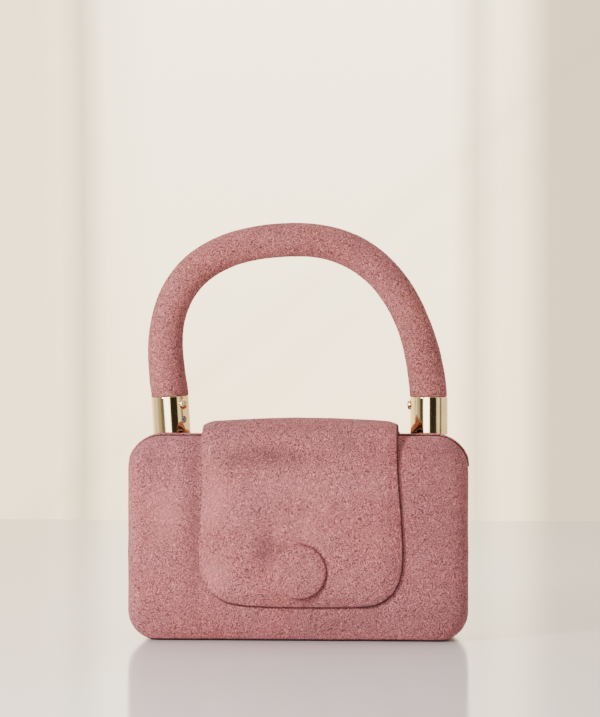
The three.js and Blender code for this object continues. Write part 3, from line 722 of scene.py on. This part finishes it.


# %% [markdown]
# ## The two suede skins
# Each half gets an outer sheet with small faces for the nap and an inner sheet with large ones. Their rims are
# bridged, so the skin is one closed piece of real thickness. The round seat of the snap is cut in the front one,
# as a punch would do, and a painted contact shadow darkens the line where the skin meets the table.

# %% Suede skins
FINE, COARSE = 0.95 * MM, 5 * MM  # the faces of the outer and the inner sheet
SEAM_PROUD, LOW_SEAM_BACK = 0.2 * MM, 0.28 * MM
SEAT_RADIUS = 9.25 * MM
for name, side, rim, body, node_name in (
    ("front_skin", -1, front_high[1], "front", "front_cover"),
    ("rear_skin", 1, rear_low[1], "rear", "rear_cover"),
):
    bm = bmesh.new()
    rim -= side * SEAM_PROUD
    outer = pull_over_case(bm, side, 0.0, rim, 0.5 * MM, 3.0 * MM, FINE)
    pull_over_case(bm, side, SKIN, rim + side * 1.0 * MM, 0.1 * MM, 1.8 * MM, COARSE)
    close_shell(bm)
    for vert in bm.verts:  # the rims step apart along the bottom, where the front dips in as it opens
        at_rim = smoothstep(2.5 * MM, 0.5 * MM, abs(vert.co.y - rim)) * smoothstep(7 * MM, 3 * MM, vert.co.z)
        vert.co.y += side * LOW_SEAM_BACK * at_rim
    raise_nap(bm, outer, rim=rim)
    # painted contact shadow along the lowest 1.5 mm, where the skin meets the table
    painted_shade = bm.verts.layers.float.new("painted_shade")
    for vert in bm.verts:
        up = vert.co.z / MM
        vert[painted_shade] = 0.97 * smoothstep(1.5, 0.95, up) * smoothstep(-0.1, 0.25, up)
    skin = make_object(name, bm, SUEDE)
    if side < 0:
        bm = bmesh.new()
        seat = Matrix.Translation((BUTTON_X, front_low[1], BUTTON_Z)) @ Matrix.Rotation(math.pi / 2, 4, "X")
        bmesh.ops.create_cone(bm, cap_ends=True, segments=48, radius1=SEAT_RADIUS, radius2=SEAT_RADIUS,
                              depth=4 * MM)
        bmesh.ops.transform(bm, matrix=seat, verts=bm.verts)
        carve(skin, make_object("snap_seat", bm))
    place(skin, body, "suede", node_name)

# %% [markdown]
# ## The two linings
# The lining of a case half is glued in, so it repeats the form of the skin a few millimetres further in.
# It could be a bent box, but the same sheet formula gives matching corners for nothing.

# %% Linings
for name, side, rim, body, node_name in (
    ("front_lining_cloth", -1, front_high[1] - 1.3 * MM, "front", "front_lining"),
    ("rear_lining_cloth", 1, rear_low[1] + 1.3 * MM, "rear", "rear_lining"),
):
    bm = bmesh.new()
    pull_over_case(bm, side, LINING_AT, rim, 0.1 * MM, 0.1 * MM, 6 * MM)
    pull_over_case(bm, side, WALL, rim, 0.2 * MM, 0.1 * MM, 2.5 * MM)
    close_shell(bm)
    place(make_object(name, bm, LINING), body, "lining", node_name)

# %% [markdown]
# ## Tubes along a line
# The handle and the lip are both tubes along a line. A flat grid is rolled up: one side of it runs along
# the line, the other goes round the section, and its two long edges are welded. Ferrules, screws and snaps
# are turned on a lathe, so theirs is a profile spun about an axis.

# %% Tube and lathe helpers


def tube_along(bm, frames, section, around, close_ends=True):
    """Adds a tube: frames are (centre, side, up) in order, section(step, angle) gives (side, up)."""
    old = set(bm.verts)
    sheet = bmesh.ops.create_grid(bm, x_segments=len(frames) - 1, y_segments=around, size=1)["verts"]
    for vert in sheet:
        step = round((vert.co.x + 1) / 2 * (len(frames) - 1))
        angle = (vert.co.y + 1) * math.pi
        centre, side, up = frames[step]
        out, high = section(step, angle)
        vert.co = centre + side * out + up * high
    bmesh.ops.remove_doubles(bm, verts=sheet, dist=1e-7)
    made = [vert for vert in bm.verts if vert not in old]
    if close_ends:
        ends = {edge for vert in made for edge in vert.link_edges if edge.is_boundary}
        bmesh.ops.holes_fill(bm, edges=list(ends), sides=0)
        bmesh.ops.recalc_face_normals(bm, faces=list({face for vert in made for face in vert.link_faces}))
    return made


def turned(bm, profile, steps, place_matrix):
    """Adds a closed ring or solid: the profile is [radius, height] points, turned about Z."""
    verts = [bm.verts.new((radius * MM, 0, high * MM)) for radius, high in profile]
    edges = [bm.edges.new((a, b)) for a, b in zip(verts, verts[1:] + verts[:1])]
    old = set(bm.verts) - set(verts)
    bmesh.ops.spin(bm, geom=verts + edges, cent=(0, 0, 0), axis=(0, 0, 1), angle=2 * math.pi, steps=steps,
                   use_merge=True)
    made = [vert for vert in bm.verts if vert not in old]
    bmesh.ops.remove_doubles(bm, verts=made, dist=1e-6)
    made = [vert for vert in bm.verts if vert not in old]
    bmesh.ops.recalc_face_normals(bm, faces=list({face for vert in made for face in vert.link_faces}))
    bmesh.ops.transform(bm, matrix=place_matrix, verts=made)
    return made


# %% [markdown]
# ## The lip
# A rolled strip of the same suede stands round the top of the rear case's mouth and dies out in the
# corners. It is a flat bead, thicker in the middle and thin at its two ends.

# %% Lip round the mouth
LIP_OUT, LIP_HIGH, LIP_WIDE = 0.35 * MM, 2.1 * MM, 2.6 * MM
LIP_Y = rear_low[1] + LIP_WIDE / 2 - 0.1 * MM
BACKWARDS, UPWARDS = Vector((0, 1, 0)), Vector((0, 0, 1))
corner_x, corner_z = HALF_WIDTH - HIGH_CORNER, CASE_TOP - HIGH_CORNER


def lip_corner(centre_x, degrees):
    """A frame of the lip on the round corner whose centre is at centre_x."""
    out = Vector((math.cos(math.radians(degrees)), 0, math.sin(math.radians(degrees))))
    return Vector((centre_x, LIP_Y, corner_z)) + out * (HIGH_CORNER + LIP_OUT), BACKWARDS, out


lip_frames = [lip_corner(-corner_x, 174 - 3 * i) for i in range(29)]
for i in range(1, 72):
    x = -corner_x + 2 * corner_x * i / 72
    lip_frames.append((Vector((x, LIP_Y, CASE_TOP + LIP_OUT)), BACKWARDS, UPWARDS))
lip_frames += [lip_corner(corner_x, 90 - 3 * i) for i in range(29)]


def lip_section(step, angle):
    end = min(step, len(lip_frames) - 1 - step)
    fade = 0.35 + 0.65 * smoothstep(0, 6, end)
    return math.cos(angle) * LIP_WIDE / 2, math.sin(angle) * LIP_HIGH / 2 * fade


bm = bmesh.new()
tube_along(bm, lip_frames, lip_section, 14)
raise_nap(bm, bm.verts, 0.0, 0.06)
# painted shadow in the seam, on the lower front side of the lip where it meets the front case
painted_shade = bm.verts.layers.float.new("painted_shade")
for vert in bm.verts:
    out = math.hypot(max(abs(vert.co.x) - corner_x, 0), vert.co.z - corner_z) - HIGH_CORNER
    foremost = smoothstep(0.1 * MM, -0.5 * MM, vert.co.y - LIP_Y)
    vert[painted_shade] = 0.85 * smoothstep(0.75 * MM, 0.35 * MM, out) * foremost
place(make_object("mouth_lip", bm, SUEDE), "rear", "suede", "mouth_binding")

# %% [markdown]
# ## The gussets
# A folded sheet of the lining cloth closes each end of the mouth. It is cut as a plain strip, glued
# along both its long edges and creased once, with the crease pointing inwards. It stretches between
# the two cases when the front drops open.

# %% Gussets
gusset_low, gusset_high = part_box("gusset_left")
SEAM_Y = (front_high[1] + rear_low[1]) / 2
for side, name in ((-1, "left"), (1, "right")):
    bm = bmesh.new()
    cloth = bmesh.ops.create_grid(bm, x_segments=28, y_segments=34, size=1)["verts"]
    for vert in cloth:
        across, up = vert.co.x, (vert.co.y + 1) / 2
        z = gusset_low[2] + up * (gusset_high[2] - gusset_low[2])
        wall_x = 84.2 * MM - 1.4 * MM * smoothstep(0.12, 0, up) - 0.5 * MM * smoothstep(0.9, 1, up)
        fold_in = (1 - abs(across)) * 15.6 * MM + 0.7 * MM * math.cos(across * math.pi / 2) ** 8
        wave = 0.25 * MM * noise.noise(Vector((across * 2, up * 5, side)))
        vert.co = (side * (wall_x - fold_in + wave), SEAM_Y + across * 4.4 * MM + wave, z)
    bmesh.ops.solidify(bm, geom=bm.faces[:], thickness=0.5 * MM)
    bmesh.ops.recalc_face_normals(bm, faces=bm.faces[:])
    gusset = make_object(f"gusset_cloth_{name}", bm, LINING)
    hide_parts(f"gusset_{name}")
    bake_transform(gusset, "rear", "front", start=(0, SEAM_Y + 4.4 * MM, 0.05), end=(0, SEAM_Y - 4.4 * MM, 0.05))
print("gussets made")

# %% [markdown]
# ## The flap
# The flap is one long padded piece of suede. Its tail is sewn down the back, it crosses the top, bends
# over the front edge and ends in a soft U. It is drawn as two sheets, the suede outside and the lining
# inside, that follow one side view and one outline, and their rims are joined. The pad is thickest in
# the middle and pulls in towards its turned edge.
#
# Cloth simulation then blows the pad up a little, which gives it the small uneven swellings of a real
# pad. Only the outside may swell, because the inside lies on the case.

# %% Side view of the flap
tail_low, tail_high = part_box("flap_tail")
panel_low, panel_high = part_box("flap_panel_face")
FLAP_X = (panel_low[0] + panel_high[0]) / 2
FLAP_BACK, FLAP_FRONT = tail_high[1] - 3.2 * MM, panel_low[1] + 4.6 * MM
FLAP_UNDER = panel_high[2] - 4.6 * MM
TAIL_UNDER = CASE_TOP + 0.4 * MM
AXIS_Y = -15 * MM


def quarter(centre_y, centre_z, radius, start, stop, count=40):
    angles = np.radians(np.linspace(start, stop, count))
    return [(centre_y + radius * math.cos(a), centre_z + radius * math.sin(a)) for a in angles]


side_view = [(FLAP_BACK, tail_low[2]), (FLAP_BACK, CASE_TOP - EDGE)]
side_view += quarter(FLAP_BACK - EDGE - 0.4 * MM, CASE_TOP - EDGE, EDGE + 0.4 * MM, 0, 90)
side_view += [(2 * MM, TAIL_UNDER), (AXIS_Y + 3 * MM, FLAP_UNDER), (FLAP_FRONT + 10 * MM, FLAP_UNDER)]
side_view += quarter(FLAP_FRONT + 10 * MM, FLAP_UNDER - 10 * MM, 10 * MM, 90, 180)
side_view += [(FLAP_FRONT, panel_low[2])]
side_view = np.array(side_view)
lengths = np.concatenate([[0], np.cumsum(np.hypot(*np.diff(side_view, axis=0).T))])
FLAP_LONG = lengths[-1]
even = np.arange(0, FLAP_LONG + 0.25 * MM, 0.5 * MM)
line_y, line_z = np.interp(even, lengths, side_view[:, 0]), np.interp(even, lengths, side_view[:, 1])
soft = np.hanning(13) / np.hanning(13).sum()
line_y = np.convolve(np.pad(line_y, 6, mode="reflect", reflect_type="odd"), soft, mode="valid")
line_z = np.convolve(np.pad(line_z, 6, mode="reflect", reflect_type="odd"), soft, mode="valid")
slope_y, slope_z = np.gradient(line_y), np.gradient(line_z)
slope = np.hypot(slope_y, slope_z)
# outwards is to the left hand of the way from the back, over the top, to the front
away_y, away_z = slope_z / slope, -slope_y / slope
AXIS_AT = float(even[np.argmin(np.hypot(line_y - AXIS_Y, line_z - FLAP_UNDER))])
BEND_AT = float(even[np.argmin(np.hypot(line_y - FLAP_FRONT, line_z - (FLAP_UNDER - 10 * MM)))])
print("flap length along its side view:", round(FLAP_LONG * 1000, 1), "mm, axis at", round(AXIS_AT * 1000, 1))

# %% [markdown]
# ## One formula for every point of the flap
# The flap is a strip with a straight back end and a soft U at the front. Points keep their place across and
# along the strip, except in the corners, where square rings become rounded ones. The height over the
# side view gives the pad: a thin turned edge, a quick rise and a slow dome.

# %% Points of the flap
TAIL_CORNER = 12 * MM
END_WIDE, END_LONG = 23 * MM, 27.6 * MM  # the soft corners of the U
FLAP_GAP = front_low[1] - FLAP_FRONT  # between the pad's inside and the case


def flap_point(across, along, outside):
    """A point of the pad: across is -1 to 1, along is 0 at the tail and 1 at the front end."""
    s = along * FLAP_LONG
    widen = smoothstep(BEND_AT, BEND_AT + 55 * MM, s) * 2.9 * MM
    half = 51 * MM + widen
    if across < 0:  # the left side of the panel hangs a little wider at the top
        past_axis = smoothstep(AXIS_AT - 8 * MM, AXIS_AT + 8 * MM, s)
        half += past_axis * smoothstep(BEND_AT + 35 * MM, BEND_AT, s) * 1.4 * MM
    x = across * half
    front = s > FLAP_LONG / 2
    a, b = (END_WIDE, END_LONG) if front else (TAIL_CORNER, TAIL_CORNER)
    power = 0.815 if front else 1.0
    over_x = (abs(x) - (half - a)) / a
    over_s = ((s - (FLAP_LONG - b)) if front else (b - s)) / b
    rim = min((1 - over_x) * a, (1 - over_s) * b)
    if over_x > 0 and over_s > 0:
        large, angle = corner_turn(over_x, over_s)
        over_x = large * math.cos(angle) ** power
        over_s = large * math.sin(angle) ** power
        x = math.copysign(half - a + over_x * a, x)
        s = FLAP_LONG - b + over_s * b if front else b - over_s * b
        rim = (1 - large) * a
    rim = max(rim, 0.0)
    if front:  # the end of the flap is bowed, and a little shorter on its left
        shorter = 0.8 * (x / half) ** 2 + 1.5 * smoothstep(-0.2, -0.95, x / half)
        s -= MM * smoothstep(0.8, 1, along) * shorter
    y, z = np.interp(s, even, line_y), np.interp(s, even, line_z)
    out_y, out_z = np.interp(s, even, away_y), np.interp(s, even, away_z)
    panel = smoothstep(AXIS_AT - 12 * MM, AXIS_AT + 4 * MM, s)
    top = smoothstep(AXIS_AT - 14 * MM, AXIS_AT + 2 * MM, s)
    top *= smoothstep(BEND_AT + 6 * MM, BEND_AT - 9 * MM, s)
    thick = (3.0 + 1.6 * panel) * MM
    hanging = 0.25 + 0.28 * smoothstep(0, 3.2 * MM, rim) + 0.45 * smoothstep(-4 * MM, 24 * MM, rim)
    lying = 0.66 + 0.34 * smoothstep(-1 * MM, 4.5 * MM, rim)
    thick *= hanging + top * (lying - hanging)
    high = thick if outside else 0.0
    high += top * 1.5 * MM * (1 - (x / half) ** 2) - 0.2 * MM * top
    down = smoothstep(BEND_AT - 4 * MM, BEND_AT + 10 * MM, s)
    high -= down * (0.15 * MM + (FLAP_GAP - 0.2 * MM) * smoothstep(7 * MM, 0, rim))
    return Vector((FLAP_X + x, y + out_y * high, z + out_z * high)), rim


# %% [markdown]
# ## The two sheets of the pad
# Two sheets, one outside and one inside, share the formula and are bridged at the rim with a dark painted edge,
# darkened further as painted shade.
# The outermost cells are narrow, so that the turned edge stays crisp when the pad is made finer.

# %% Build the flap
FLAP_CELLS = (32, 54)


def narrow_rim(place_at, cells, rim):
    """Evens out places from -1 to 1 so that the first and last cell are only as wide as rim."""
    number = round((place_at + 1) / 2 * cells)
    if number in (0, cells):
        return place_at
    return -1 + rim + (number - 1) / (cells - 2) * (2 - 2 * rim)


bm = bmesh.new()
from_rim = bm.verts.layers.float.new("from_rim")
for outside in (True, False):
    sheet = bmesh.ops.create_grid(bm, x_segments=FLAP_CELLS[0], y_segments=FLAP_CELLS[1], size=1)["verts"]
    for vert in sheet:
        across = narrow_rim(vert.co.x, FLAP_CELLS[0], 0.8 * MM / (53 * MM))
        along = narrow_rim(vert.co.y, FLAP_CELLS[1], 1.6 * MM / FLAP_LONG)
        vert.co, vert[from_rim] = flap_point(across, (along + 1) / 2, outside)
    if not outside:
        for face in {face for vert in sheet for face in vert.link_faces}:
            face.material_index = 1
for face in bmesh.ops.bridge_loops(bm, edges=open_edges(bm))["faces"]:
    face.material_index = 2
bmesh.ops.recalc_face_normals(bm, faces=bm.faces[:])
flap = make_object("flap_pad", bm, FLAP_SUEDE, LINING, EDGE_PAINT_AND_SHADE)
rest = np.array([vert.co for vert in flap.data.vertices])
print("flap before the cloth:", len(rest), "points")

# %% [markdown]
# ## The pad, blown up a little
# Cloth simulation with a small inner pressure gives swellings that a formula would make too even. Its
# movement is capped, and fades towards the rim, because a sewn edge does not swell.

# %% Inflate the flap
outer_points = (FLAP_CELLS[0] + 1) * (FLAP_CELLS[1] + 1)
sewn = flap.vertex_groups.new(name="sewn")
for vert in flap.data.vertices:
    if vert.index >= outer_points or vert.co.y > 28 * MM:
        sewn.add([vert.index], 1.0, "REPLACE")
cloth = flap.modifiers.new("cloth", "CLOTH").settings
cloth.quality = 6
cloth.mass = 0.2
cloth.tension_stiffness = 30
cloth.compression_stiffness = 30
cloth.bending_stiffness = 6
cloth.use_pressure = True
cloth.uniform_pressure_force = 4.0
cloth.vertex_group_mass = "sewn"
cloth.effector_weights.gravity = 0
for number in range(1, 21):
    bpy.context.scene.frame_set(number)
blown = flap.evaluated_get(bpy.context.evaluated_depsgraph_get()).to_mesh()
swollen = np.array([vert.co for vert in blown.vertices])
flap.modifiers.clear()
bpy.context.scene.frame_set(1)
move = swollen - rest
size = np.linalg.norm(move, axis=1)
reach = np.array([item.value for item in flap.data.attributes["from_rim"].data])
cap = 0.05 * MM + 1.1 * MM * np.clip(reach / (10 * MM), 0, 1)
scale = np.where(size > 1e-9, cap * np.tanh(size / cap) / np.maximum(size, 1e-9), 0)
print("cloth moved the pad by up to", round(size.max() * 1000, 2), "mm before the cap")
for vert, step in zip(flap.data.vertices, move * scale[:, None]):
    vert.co += Vector(step)
flap.vertex_groups.clear()

# %% [markdown]
# ## The surface of the flap
# After two rounds of subdivision the faces are about a millimetre wide. Then come the details a hand would
# sculpt: the nap, a groove round the open side of the button, the pull on its sunk side and a dimple next to it.
# A painted shadow runs along the edge, and a painted crescent of shadow lies round the open side of the button.

# %% Finish the flap's surface


def refine(obj, levels):
    """Adds a subdivision for good."""
    modifier = obj.modifiers.new("finer", "SUBSURF")
    modifier.levels = modifier.render_levels = levels
    apply_modifiers(obj)


refine(flap, 2)
bm = bmesh.new()
bm.from_mesh(flap.data)
bm.normal_update()
painted_shade = bm.verts.layers.float.new("painted_shade")
from_rim = bm.verts.layers.float["from_rim"]
moves = []
for vert in bm.verts:
    point, normal = vert.co, vert.normal
    lift = 0.0
    rim = vert[from_rim] / MM
    away = math.hypot(point.x - BUTTON_X, point.z - BUTTON_Z) / MM
    materials = {face.material_index for face in vert.link_faces}
    if materials == {1} and away < 9.4 and point.y < -30 * MM:  # flat under the snap's upper half
        point.y = min(point.y, FLAP_FRONT - 0.45 * MM)
    if materials == {0}:
        lift = nap_height(point, 0.12, 0.07) * smoothstep(0.2, 3.0, rim)
        # painted shadow along the edge: strongest on the right and towards the foot, faint on the lit left
        to_right = (point.x - FLAP_X) / (50 * MM)
        shaded = smoothstep(-0.5, 0.6, to_right + smoothstep(60, 20, point.z / MM))
        at_edge = smoothstep(0.78, 0.5, rim) * smoothstep(0, -26, point.y / MM)
        vert[painted_shade] = (0.06 + 0.91 * shaded) * at_edge
        if point.y < -30 * MM and normal.y < -0.5 and rim > 3:
            around = (point.x - BUTTON_X) / MM / max(away, 1.0)
            open_side = smoothstep(-0.55, 0.15, around)
            groove = 0.7 * bell(away, 14.4, 1.0) + 0.2 * bell(away, 16, 3)
            pulled = 0.5 * bell(away, 13.0, 4.0) * smoothstep(0.1, -0.9, around)
            dimple = math.hypot((point.x + 17 * MM) / 7, (point.z - 43 * MM) / 9) / MM
            lift += pulled - groove * open_side - 0.7 * bell(dimple, 0, 1)
            # painted crescent of shadow round the button's open right side
            vert[painted_shade] = 0.85 * bell(away, 14.25, 0.62) * open_side * (0.65 + 0.35 * around)
    moves.append((vert, normal * lift * MM))
for vert, move in moves:
    vert.co += move
bm.to_mesh(flap.data)
bm.free()
flap.data.polygons.foreach_set("use_smooth", [True] * len(flap.data.polygons))
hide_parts("flap_tail", "flap_panel_face", "flap_panel_foam", "flap_panel_back")
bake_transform(flap, "rear", "flap", start=(0, AXIS_Y + 4.5 * MM, 0.1135), end=(0, AXIS_Y - 4.5 * MM, 0.1135))
print("flap:", len(flap.data.vertices), "points")

# %% [markdown]
# ## The button
# A covered button: a suede disc pulled over a domed former and gathered behind. It sits a little crooked, its
# left side sunk in the pad and its right side proud, which throws the dark crescent that marks it; that crescent
# is also painted into the flap as shadow. The rim is painted darker where it rolls under, as shade.

# %% Button
BUTTON_RADIUS, BUTTON_DOME = 13.9 * MM, 2.5 * MM
ROLL_STARTS = 0.86  # where the sheet turns back under the rim, as a share of its half width
bm = bmesh.new()
disc = bmesh.ops.create_grid(bm, x_segments=44, y_segments=44, size=1)["verts"]
for vert in disc:
    a, b = vert.co.x, vert.co.y
    if a == b == 0:
        vert.co = (0, -BUTTON_DOME, 0)
        continue
    large, angle = corner_turn(abs(a), abs(b))
    reach = min(large / ROLL_STARTS, 1.0)
    rolled = max(0.0, (large - ROLL_STARTS) / (1 - ROLL_STARTS))
    high = BUTTON_DOME * (1 - reach ** 2) ** 0.55 if reach < 1 else 0.0
    out = BUTTON_RADIUS * math.sin(reach * math.pi / 2) ** 0.9
    x, z = math.copysign(out * math.cos(angle), a), math.copysign(out * math.sin(angle), b)
    vert.co = (x, -high + rolled * 2.4 * MM, z)
raise_nap(bm, bm.verts, 0.08, 0.07)
# painted shade on the rim where it rolls back under the dome
painted_shade = bm.verts.layers.float.new("painted_shade")
for vert in bm.verts:
    vert[painted_shade] = 0.8 * smoothstep(-0.2 * MM, 1.6 * MM, vert.co.y)
bmesh.ops.holes_fill(bm, edges=open_edges(bm), sides=0)
bmesh.ops.recalc_face_normals(bm, faces=bm.faces[:])
tilt = Matrix.Rotation(math.radians(6.0), 4, "Z") @ Matrix.Rotation(math.radians(-1.0), 4, "X")
at_button = Matrix.Translation((BUTTON_X, panel_low[1] - 0.55 * MM, BUTTON_Z))
bmesh.ops.transform(bm, matrix=at_button @ tilt, verts=bm.verts)
place(make_object("button_cap", bm, FLAP_SUEDE), "flap", "suede", "button_cover", "button_core")

# %% [markdown]
# ## The line of the handle
# The handle is an arch that leans to one side. Two Bezier curves give its line, which is then divided into
# even steps. At each foot the steps are shorter, because the suede is tucked into the ferrule there.

# %% Line of the handle
ARCH = [
    ((-70.2, 130), (-71.6, 143.9), (-89.4, 212.8), (-0.9, 212.8)),
    ((-0.9, 212.8), (54.8, 212.8), (67.2, 155.4), (68.9, 130)),
]


def arch_line(count):
    """Even steps along the handle's two curves, as (centre, side, up) with up to the outside."""
    t = np.linspace(0, 1, 400)[:, None]
    parts = []
    for a, b, c, d in [tuple(np.array(point) for point in curve) for curve in ARCH]:
        parts.append(a * (1 - t) ** 3 + 3 * b * t * (1 - t) ** 2 + 3 * c * t ** 2 * (1 - t) + d * t ** 3)
    line = np.concatenate([parts[0], parts[1][1:]])
    line = np.concatenate([line[:1] - (0, 2.6), line, line[-1:] - (0, 2.6)])
    run = np.concatenate([[0], np.cumsum(np.hypot(*np.diff(line, axis=0).T))])
    steps = np.linspace(4, run[-1] - 4, count - 28)
    steps = np.concatenate([np.linspace(0, 3.7, 14), steps, run[-1] - np.linspace(3.7, 0, 14)])
    x, z = np.interp(steps, run, line[:, 0]), np.interp(steps, run, line[:, 1])
    dx, dz = np.gradient(x), np.gradient(z)
    size = np.hypot(dx, dz)
    frames = []
    for i in range(count):
        up = Vector((-dz[i] / size[i], 0, dx[i] / size[i]))
        frames.append((Vector((x[i], 0, z[i])) * MM, Vector((0, 1, 0)), up))
    return frames


HANDLE_STEPS = 320
handle_frames = arch_line(HANDLE_STEPS)
print("handle line:", len(handle_frames), "steps")

# %% [markdown]
# ## The handle
# A stiff core in padded suede. A curve with a bevel would give a plain tube; a section of its own lets the
# tube be fuller at the crown and at its feet, and lets the seam of the suede run along its back.

# %% Handle
HANDLE_BORE = 5.8 * MM


def handle_section(step, angle):
    spot = handle_frames[step][0]
    wobble = 0.16 * noise.noise(spot * 45 + Vector((math.cos(angle), math.sin(angle), 0)))
    fuller = 0.15 * math.sin(step / HANDLE_STEPS * math.pi) ** 2
    seam = -0.55 * math.exp(-((angle - 0.35) / 0.07) ** 2)
    lean = 0.55 * math.sin(angle) if spot.x < 0 else 0.0
    foot = (spot.z - 128.5 * MM) / MM + lean
    flare = 1.05 * smoothstep(46, 4, foot)
    tuck = -1.7 * smoothstep(0.3, -0.25, foot)
    radius = (8.95 + wobble + fuller + seam + flare + tuck) * MM
    return math.cos(angle) * radius, math.sin(angle) * radius


def bore_section(_, angle):
    return math.cos(angle) * HANDLE_BORE, math.sin(angle) * HANDLE_BORE


bm = bmesh.new()
outer = tube_along(bm, handle_frames, handle_section, 64, close_ends=False)
tube_along(bm, handle_frames[::6] + handle_frames[-1:], bore_section, 20, close_ends=False)
for side in (-1, 1):
    bmesh.ops.bridge_loops(bm, edges=[edge for edge in open_edges(bm) if edge.verts[0].co.x * side > 0])
bmesh.ops.recalc_face_normals(bm, faces=bm.faces[:])
raise_nap(bm, [vert for vert in outer if vert.is_valid], 0.07, 0.08)
place(make_object("handle_sleeve_suede", bm, HANDLE_SUEDE), "rear", "handle_suede", "handle_sleeve")

# %% [markdown]
# ## Ferrules and their screws
# Each ferrule is a turned brass sleeve with its two end edges broken. A round-head screw goes through
# it into the handle, and a grub screw below holds it on the post. The left one leans with the handle.

# %% Ferrules
FERRULES = (("left", -69.0, -0.061, 50), ("right", 69.1, 0.0, -90))
FERRULE_PROFILE = [
    (8.8, -0.4), (9.05, -0.65), (9.6, -0.65), (9.86, -0.55), (10, -0.25), (10, -0.1),
    (10, 18.95), (10, 19.1), (9.86, 19.4), (9.6, 19.5), (9.05, 19.5), (8.8, 19.25),
]
SCREW_PROFILE = [
    (0, 4.6), (1.3, 4.6), (1.3, 10.05), (2.55, 10.05), (2.7, 10.25), (2.62, 10.7),
    (2.3, 11.15), (1.7, 11.45), (0.9, 11.6), (0, 11.65),
]
SCREW_UP, GRUB_UP = 15.2 * MM, 7 * MM  # their heights above the ferrule's foot


def hole_cutter(radius, at):
    """A round cutter for a hole through the ferrule's wall."""
    bm = bmesh.new()
    turned(bm, [(0, 7), (radius, 7), (radius, 12), (0, 12)], 24, at)
    return make_object("cutter", bm)


def slot_cutter(at):
    """A bar that cuts the driver's slot."""
    bm = bmesh.new()
    bmesh.ops.create_cube(bm, size=1)
    bmesh.ops.scale(bm, vec=(8 * MM, 0.65 * MM, 1.3 * MM), verts=bm.verts)
    bmesh.ops.transform(bm, matrix=at, verts=bm.verts)
    return make_object("cutter", bm)


for name, x, lean, turn in FERRULES:
    foot = Matrix.Translation((x * MM, 0, 109 * MM)) @ Matrix.Rotation(lean, 4, "Y")
    point_out = Matrix.Rotation(math.radians(turn), 4, "Z") @ Matrix.Rotation(math.pi / 2, 4, "X")
    at_screw = foot @ Matrix.Translation((0, 0, SCREW_UP)) @ point_out
    at_grub = foot @ Matrix.Translation((0, 0, GRUB_UP)) @ point_out
    bm = bmesh.new()
    turned(bm, FERRULE_PROFILE, 96, foot)
    ferrule = make_object(f"ferrule_{name}_brass", bm, BRASS)
    carve(ferrule, hole_cutter(1.6, at_screw), hole_cutter(1.8, at_grub))
    soften(ferrule)
    place(ferrule, "rear", "brass", f"ferrule_{name}")
    bm = bmesh.new()
    turned(bm, SCREW_PROFILE, 40, at_screw)
    screw = make_object(f"ferrule_screw_{name}_brass", bm, BRASS)
    slot_turn = Matrix.Rotation(math.radians(35), 4, "Z") @ Matrix.Translation((0, 0, 11.6 * MM))
    carve(screw, slot_cutter(at_screw @ slot_turn))
    soften(screw)
    place(screw, "rear", "brass", f"ferrule_screw_{name}")

# %% [markdown]
# ## The snap
# The two halves of the magnetic snap are thin turned discs with rounded rims. They are only seen when
# the flap is up.

# %% Snap halves
SNAP_TURN = Matrix.Translation((BUTTON_X, 0, BUTTON_Z)) @ Matrix.Rotation(-math.pi / 2, 4, "X")
# each profile is [radius, depth] in mm: from the flap's inside, and from the face of the case
MALE = [
    (0, -0.7), (8.2, -0.7), (8.5, -0.4), (8.5, 0), (8.2, 0.25), (3.1, 0.25), (2.9, 0.45), (2.9, 2.2),
    (2.6, 2.5), (0, 2.6),
]
FEMALE = [
    (3.7, -0.3), (4.0, -0.5), (8.7, -0.5), (9.0, -0.2), (9.0, 1.0), (4.6, 1.1), (4.6, 4.8), (2.7, 4.8),
    (2.7, 6.0), (0, 6.1), (0, 2.6), (3.7, 2.6),
]
for name, profile, face, body in (
    ("snap_male", MALE, FLAP_FRONT / MM, "flap"),
    ("snap_female", FEMALE, front_low[1] / MM, "front"),
):
    bm = bmesh.new()
    turned(bm, [(radius, face + deep) for radius, deep in profile], 64, SNAP_TURN)
    half = make_object(f"{name}_brass", bm, BRASS)
    soften(half)
    place(half, body, "brass", name)

# %% [markdown]
# ## Sizes
# The outer box of the finished model is printed.

# %% Sizes of the finished model
low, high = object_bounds()
print("visual box in mm:", [round(x * 1000, 1) for x in (*low, *high)])
